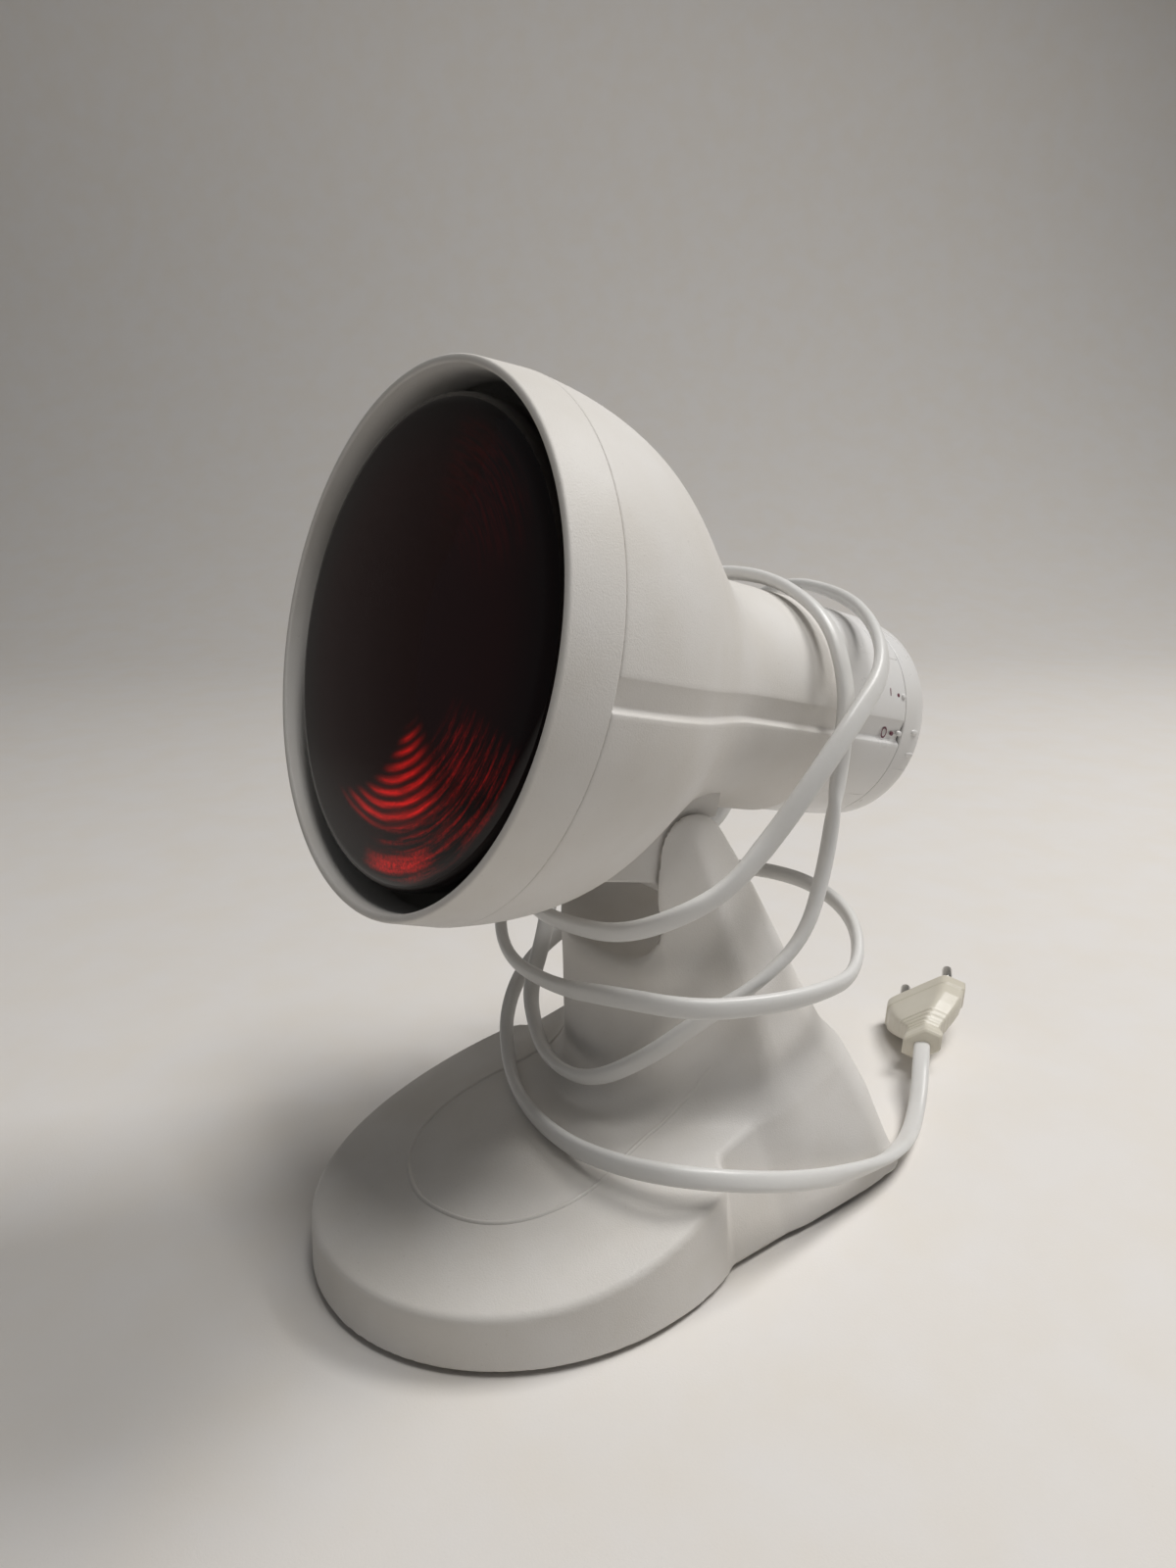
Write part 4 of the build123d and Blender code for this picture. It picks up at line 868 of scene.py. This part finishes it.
# %% Expressions for shaders
class Wire:
    """A socket that can be added, multiplied and so on; each step adds a Math node."""

    def __init__(self, tree, socket):
        self.tree, self.socket = tree, socket

    def math(self, kind, *values):
        return self.tree.node("ShaderNodeMath", {"operation": kind}, dict(enumerate(values)))


for sign, kind in (("add", "ADD"), ("sub", "SUBTRACT"), ("mul", "MULTIPLY"), ("pow", "POWER")):
    setattr(Wire, f"__{sign}__", lambda self, other, kind=kind: self.math(kind, self, other))


class Finish:
    """The node tree of one material, with its main shader and the place in millimetres."""

    def __init__(self, name, **shader):
        self.material = bpy.data.materials.new(name)
        self.material.use_nodes = True
        self.tree = self.material.node_tree
        self.tree.nodes.clear()
        self.shader = self.tree.nodes.new("ShaderNodeBsdfPrincipled")
        output = self.tree.nodes.new("ShaderNodeOutputMaterial")
        self.tree.links.new(self.shader.outputs["BSDF"], output.inputs["Surface"])
        self.feed(shader)
        inputs = {0: self.node("ShaderNodeTexCoord", out="Object"), "Scale": 1 / MM}
        self.place = self.node("ShaderNodeVectorMath", {"operation": "SCALE"}, inputs)

    def put(self, socket, value):
        if isinstance(value, Wire):
            self.tree.links.new(value.socket, socket)
        elif isinstance(value, (tuple, list)) and len(value) == 3 and socket.type == "RGBA":
            socket.default_value = (*value, 1)
        else:
            socket.default_value = value

    def node(self, kind, settings={}, inputs={}, out=0):
        node = self.tree.nodes.new(kind)
        for name, value in settings.items():
            if name == "stops":
                ramp = node.color_ramp.elements
                while len(ramp) < len(value):
                    ramp.new(0.5)
                for stop, (place, tone) in zip(ramp, value):
                    stop.position = place
                    stop.color = (tone, tone, tone, 1)
            else:
                setattr(node, name, value)
        for name, value in inputs.items():
            self.put(node.inputs[name], value)
        return Wire(self, node.outputs[out])

    def feed(self, sockets):
        for name, value in sockets.items():
            self.put(self.shader.inputs[name.replace("_", " ")], value)

    def noise(self, size, detail=2.0, rough=0.5, stretch=None, at=None):
        """Noise between 0 and 1 with lumps of that many millimetres."""
        place = at or self.place
        if stretch:
            inputs = {0: place, 1: stretch}
            place = self.node("ShaderNodeVectorMath", {"operation": "MULTIPLY"}, inputs)
        inputs = {"Vector": place, "Scale": 1 / size, "Detail": detail, "Roughness": rough}
        return self.node("ShaderNodeTexNoise", {}, inputs)

    def ramp(self, value, *stops):
        return self.node("ShaderNodeValToRGB", {"stops": stops}, {"Fac": value})

    def soft_step(self, value, start, end):
        """0 at the start, 1 at the end, and a smooth S between them."""
        limits = {"Value": value, "From Min": start, "From Max": end, "To Min": 0.0, "To Max": 1.0}
        return self.node("ShaderNodeMapRange", {"interpolation_type": "SMOOTHSTEP"}, limits)

    def mix(self, share, a, b):
        return self.node("ShaderNodeMix", {"data_type": "RGBA"}, {0: share, 6: a, 7: b}, out=2)

    def bump(self, height, distance):
        """Raises the surface by height times that many millimetres."""
        inputs = {"Height": height, "Distance": distance * MM, "Strength": 1.0}
        self.feed({"Normal": self.node("ShaderNodeBump", {}, inputs)})


# %% [markdown]
# The plastic of foot and bell is off-white with the fine bite of a spark-eroded mould. Close up it
# is a dull, even grain with a faint cloudiness and a few specks of dust. The rear sleeve is the
# same plastic from a polished mould.

# %% Moulded plastics
def moulded(name, colour, dull, grain, depth, dust=0.5, cloud=0.03):
    """Two noises: fine grain for bump and gloss, broad cloud for colour. Specks of dust are the
    rare peaks of a third noise."""
    finish = Finish(name, Specular_IOR_Level=0.42)
    fine = finish.noise(grain, 3.0, 0.62)
    broad = finish.noise(34.0, 3.0, 0.55)
    speck = finish.ramp(finish.noise(1.1, 1.0, 0.4), (0.745, 0.0), (0.79, 1.0))
    darker = tuple(c * (1 - 2.2 * cloud) * t for c, t in zip(colour, (1.0, 0.985, 0.955)))
    tone = finish.mix(finish.ramp(broad, (0.35, 0.0), (0.68, 1.0)), colour, darker)
    tone = finish.mix(speck * (0.25 * dust), tone, (0.33, 0.29, 0.25))
    finish.feed({"Base Color": tone, "Roughness": (fine - 0.5) * 0.16 + (broad - 0.5) * 0.1 + dull})
    finish.bump(fine * 0.75 + finish.noise(grain * 5, 2.0) * 0.25, depth)
    return finish.material


finishes = {
    "shell": moulded("textured plastic", (0.735, 0.715, 0.69), 0.52, 0.42, 0.11),
    "rear_shell": moulded("smooth plastic", (0.74, 0.735, 0.73), 0.3, 5.0, 0.003, 0.1, 0.012),
    "plate": moulded("floor plate plastic", (0.70, 0.68, 0.65), 0.6, 0.6, 0.1),
    "nylon": moulded("natural nylon", (0.70, 0.68, 0.62), 0.4, 1.2, 0.03),
    "plug": moulded("plug plastic", (0.69, 0.655, 0.565), 0.33, 0.9, 0.03, 0.8, 0.04),
}

# %% [markdown]
# The lead's sheath is soft plastic with a satin shine, faintly wavy and a little soiled.

# %% The sheath
def sheath(name, colour):
    """A satin finish, with a slow waviness and slight soiling in patches."""
    finish = Finish(name, Specular_IOR_Level=0.5)
    slow = finish.noise(7.0, 2.0)
    fine = finish.noise(0.8, 2.0)
    soil = finish.ramp(finish.noise(26.0, 4.0, 0.6), (0.5, 0.0), (0.8, 1.0))
    tone = finish.mix(soil * 0.35, colour, (0.60, 0.575, 0.53))
    finish.feed({"Base Color": tone, "Roughness": (slow - 0.5) * 0.16 + 0.34})
    finish.bump(slow * 0.7 + fine * 0.3, 0.12)
    return finish.material


finishes["cord"] = sheath("lead sheath", (0.72, 0.715, 0.70))

# %% [markdown]
# ## Red glass
# The front glass is nearly black where no light comes back through it. Its inside is pressed into
# fine rings, and low down, where room light returns from the mirror behind, that red light is
# painted on as emission, so the rings glow though nothing lights them.
# The rings are a wave of the distance from the axis, broken up by noise so that no ring is even.

# %% The glass
GLASS_BLACK = (0.006, 0.002, 0.002)
# Painted light: the red of the emission that stands in for the mirror's reflection.
PAINTED_GLOW_RED = (0.50, 0.006, 0.005)
RING_PITCH = 3.05


def red_glass(name):
    """Rings by the sine of the radius, kept where soft masks by the radius and the turn about the
    axis allow it, and lent to Emission as painted light: the red light that the mirror sends back
    from inside."""
    finish = Finish(name, Roughness=0.04, IOR=1.5, Specular_IOR_Level=0.34)
    finish.feed({"Emission Strength": 1.0})
    inputs = {"Vector": finish.place, "Location": tuple(RIM_CENTRE), "Rotation": (-TILT, 0, 0)}
    spot = finish.node("ShaderNodeMapping", {"vector_type": "TEXTURE"}, inputs)
    x, u = (finish.node("ShaderNodeSeparateXYZ", {}, {0: spot}, out=n) for n in (0, 2))
    radius = (x * x + u * u) ** 0.5
    turn = x.math("ARCTAN2", u, x) * (180 / np.pi)

    def mask(value, start, full, fall=None, end=None):
        rise = finish.soft_step(value, start, full)
        return rise if end is None else rise * finish.soft_step(value, end, fall)

    polar = finish.node("ShaderNodeCombineXYZ", {}, {0: radius, 1: turn * 0.06})
    streaks = finish.noise(1 / 1.15, 3.0, 0.6, at=polar)
    wave = (radius + finish.noise(14.0, 1.0) * 1.4) * (2 * np.pi / RING_PITCH)
    bands = (wave.math("SINE", wave) * 0.5 + 0.5) ** 1.4
    threads = finish.ramp(streaks, (0.42, 0.0), (0.66, 1.0))
    sparks = finish.ramp(finish.noise(0.9, 3.0, 0.7), (0.34, 0.25), (0.62, 1.0))
    main = mask(turn + (radius - 23.0) * 2.14, -71.0, -52.0) * mask(turn, -42.0, -64.0)
    main = main * mask(radius, 21.0, 26.0, 43.5, 46.5)
    outer = mask(turn, -94.0, -80.0, -66.0, -54.0) * mask(radius, 51.0, 54.0, 55.5, 57.0)
    right = mask(turn, -96.0, -58.0, -30.0, -13.0) * mask(radius, 28.0, 40.0, 56.0, 60.5)
    upper = mask(turn, 20.0, 50.0, 70.0, 86.0) * mask(radius, 24.0, 46.0, 52.0, 58.0)
    # Painted light: the red emission stands in for room light returned by the mirror behind the
    # glass.
    painted_glow = main * (bands * 0.9 + 0.05) * (threads * 0.45 + 0.55) * (sparks * 0.25 + 0.75)
    painted_glow = painted_glow + outer * (streaks + 0.2) * sparks * 0.9
    painted_glow = painted_glow + right * (bands * 0.5 + 0.1) * threads * sparks * 0.75 + upper * threads * 0.022
    light = painted_glow.math("MINIMUM", painted_glow + mask(radius, 60.0, 40.0) * 0.006, 1.0)
    emission = finish.mix(light, (0.0, 0.0, 0.0), PAINTED_GLOW_RED)
    finish.feed({"Base Color": GLASS_BLACK, "Emission Color": emission})
    finish.bump(streaks, 0.004)
    return finish.material


finishes["red_glass"] = red_glass("red glass")

# %% [markdown]
# ## Metals, rubber and the rest
# What is inside the hood or under the foot is seen rarely, but every part keeps a finish of its
# own: brushed or cast metal, rubber, porcelain, clear and silvered glass, coloured wire.

# %% The other finishes
def metal(name, colour, dull, stretch=(1, 1, 12)):
    """Fine lines from noise that is stretched one way, in gloss and bump."""
    finish = Finish(name, Metallic=1.0)
    lines = finish.noise(0.5, 3.0, 0.6, stretch)
    stain = finish.noise(6.0, 3.0)
    stained = finish.ramp(stain, (0.4, 0.0), (0.75, 1.0))
    darker = tuple(0.72 * c for c in colour)
    tone = finish.mix(stained, colour, darker)
    finish.feed({"Base Color": tone, "Roughness": lines * 0.18 + dull})
    finish.bump(lines, 0.01)
    return finish.material


def dull_solid(name, colour, dull, grain, depth):
    """A plain body with grainy bump and blotchy tone."""
    finish = Finish(name, Specular_IOR_Level=0.5)
    grains = finish.noise(grain, 4.0, 0.65)
    blotch = finish.noise(grain * 12, 3.0)
    darker = tuple(0.75 * c for c in colour)
    tone = finish.mix(blotch, colour, darker)
    finish.feed({"Base Color": tone, "Roughness": (grains - 0.5) * 0.25 + dull})
    finish.bump(grains, depth)
    return finish.material


finishes |= {
    "iron": dull_solid("cast iron", (0.09, 0.085, 0.08), 0.75, 0.8, 0.25),
    "rubber": dull_solid("foot rubber", (0.045, 0.045, 0.045), 0.7, 0.5, 0.08),
    "steel": metal("plated steel", (0.62, 0.62, 0.61), 0.28),
    "porcelain": dull_solid("porcelain", (0.80, 0.78, 0.73), 0.22, 2.5, 0.03),
    "brass": metal("brass", (0.78, 0.60, 0.28), 0.25),
    "mirror_glass": metal("silvered glass", (0.78, 0.78, 0.78), 0.08, (1, 1, 1)),
    "black_glass": dull_solid("black glass", (0.02, 0.02, 0.025), 0.12, 2.0, 0.02),
    "clear_glass": dull_solid("stem glass", (0.72, 0.74, 0.73), 0.1, 2.0, 0.02),
    "tungsten": metal("tungsten wire", (0.36, 0.36, 0.37), 0.35),
    "lead_brown": dull_solid("brown wire", (0.20, 0.09, 0.045), 0.4, 0.7, 0.03),
    "lead_blue": dull_solid("blue wire", (0.07, 0.16, 0.42), 0.4, 0.7, 0.03),
    "pins": metal("nickel plate", (0.70, 0.69, 0.66), 0.16),
}
mark_finish = dull_solid("printed mark", (0.16, 0.045, 0.07), 0.45, 0.6, 0.01)


def dress(thing, material):
    """Puts one material on an object, in place of what it had."""
    thing.data.materials.clear()
    thing.data.materials.append(material)


for part in frame["record"]["subparts"]:
    dress(frame["nodes"][part["node"]], finishes[part["material_slot"]])
for piece, body, slot, *nodes in belongings:
    dress(piece, finishes[slot])
for piece in marks:
    dress(piece, mark_finish)
dress(lead, finishes["cord"])
print("finishes:", len(finishes) + 1)

# %% [markdown]
# ## Floor, light and camera
# The floor runs up into a backdrop in one sweep, so no horizon crosses the view. Two soft lamps
# light the part, one from its far side and one overhead, and the side towards the camera lies in
# gentle shade. A weak surround fills the shadows, and only the camera sees it as pale.

# %% The floor and its backdrop
FLOOR_REACH = 4000
BEND_START, BEND_RADIUS = 900, 800
BACKDROP_HEIGHT = 4500
FLOOR_TURN = radians(53.5)
across = np.linspace(-FLOOR_REACH, FLOOR_REACH, 9)
bend = np.linspace(0, np.pi / 2, 24)
rising = BEND_RADIUS * np.stack([np.sin(bend), 1 - np.cos(bend)], axis=-1) + [BEND_START, 0]
run = np.vstack([(-FLOOR_REACH, 0), rising, (BEND_START + BEND_RADIUS, BACKDROP_HEIGHT)])
floor_x = across[None, :] * cos(FLOOR_TURN) - run[:, :1] * sin(FLOOR_TURN)
floor_y = across[None, :] * sin(FLOOR_TURN) + run[:, :1] * cos(FLOOR_TURN)
sheet = np.stack([floor_x, floor_y, run[:, 1:] + 0 * across[None, :]], axis=-1)
index = np.arange(sheet.shape[0] * sheet.shape[1]).reshape(sheet.shape[:2])
quads = np.stack([index[:-1, :-1], index[:-1, 1:], index[1:, 1:], index[1:, :-1]], axis=-1)
floor = add_mesh("floor", sheet.reshape(-1, 3), quads.reshape(-1, 4).tolist())
floor_finish = moulded("floor", (0.80, 0.775, 0.75), 0.8, 0.7, 0.05, dust=0.2, cloud=0.004)
dress(floor, floor_finish)

# %% The light
def set_up(thing, right, up, back, place):
    """Links a lamp or camera that looks against the back direction, in metres."""
    matrix = Matrix(np.stack([right, up, back], axis=-1).tolist()).to_4x4()
    matrix.translation = place
    thing.matrix_world = matrix
    bpy.context.scene.collection.objects.link(thing)


def soft_lamp(name, place, power, aim=(0, 0, 0.1), size=0.5, colour=(1.0, 0.985, 0.965)):
    """A square lamp at a place, turned to face its aim."""
    lamp = bpy.data.lights.new(name, "AREA")
    lamp.shape = "SQUARE"
    lamp.size = size
    lamp.energy = power
    lamp.color = colour
    back = unit(np.array(place) - np.array(aim))
    right = unit(np.cross([0.0, 0.0, 1.0], back))
    set_up(bpy.data.objects.new(name, lamp), right, np.cross(back, right), back, place)


soft_lamp("side", (0.29, 0.81, 1.33), 12.5)
soft_lamp("overhead", (0.45, 0.09, 1.53), 8.5)
world = bpy.data.worlds.new("surround")
bpy.context.scene.world = world
world.use_nodes = True
air = world.node_tree
path = air.nodes.new("ShaderNodeLightPath")
strength = air.nodes.new("ShaderNodeMapRange")
strength.inputs["To Min"].default_value = 0.09
strength.inputs["To Max"].default_value = 0.5
air.links.new(path.outputs["Is Camera Ray"], strength.inputs["Value"])
air.links.new(strength.outputs[0], air.nodes["Background"].inputs["Strength"])
air.nodes["Background"].inputs["Color"].default_value = (0.96, 0.98, 1.0, 1)

# %% The camera
AZIMUTH, ELEVATION, LEAN = radians(53.53), radians(16.65), radians(-0.65)
CAMERA_PLACE = (0.2384, -0.18915, 0.2225)
FOCAL_LENGTH, SENSOR_WIDTH = 24.975, 36.0
back = np.array([sin(AZIMUTH) * cos(ELEVATION), -cos(AZIMUTH) * cos(ELEVATION), sin(ELEVATION)])
level = np.array([cos(AZIMUTH), sin(AZIMUTH), 0])
above = np.cross(back, level)
lens = bpy.data.cameras.new("camera")
lens.lens = FOCAL_LENGTH
lens.sensor_width = SENSOR_WIDTH
lens.clip_start = 0.01
camera = bpy.data.objects.new("camera", lens)
right = cos(LEAN) * level + sin(LEAN) * above
up = -sin(LEAN) * level + cos(LEAN) * above
set_up(camera, right, up, back, CAMERA_PLACE)
bpy.context.scene.camera = camera
bpy.context.scene.view_settings.view_transform = "Standard"
print("camera at", [round(v, 3) for v in camera.matrix_world.translation])
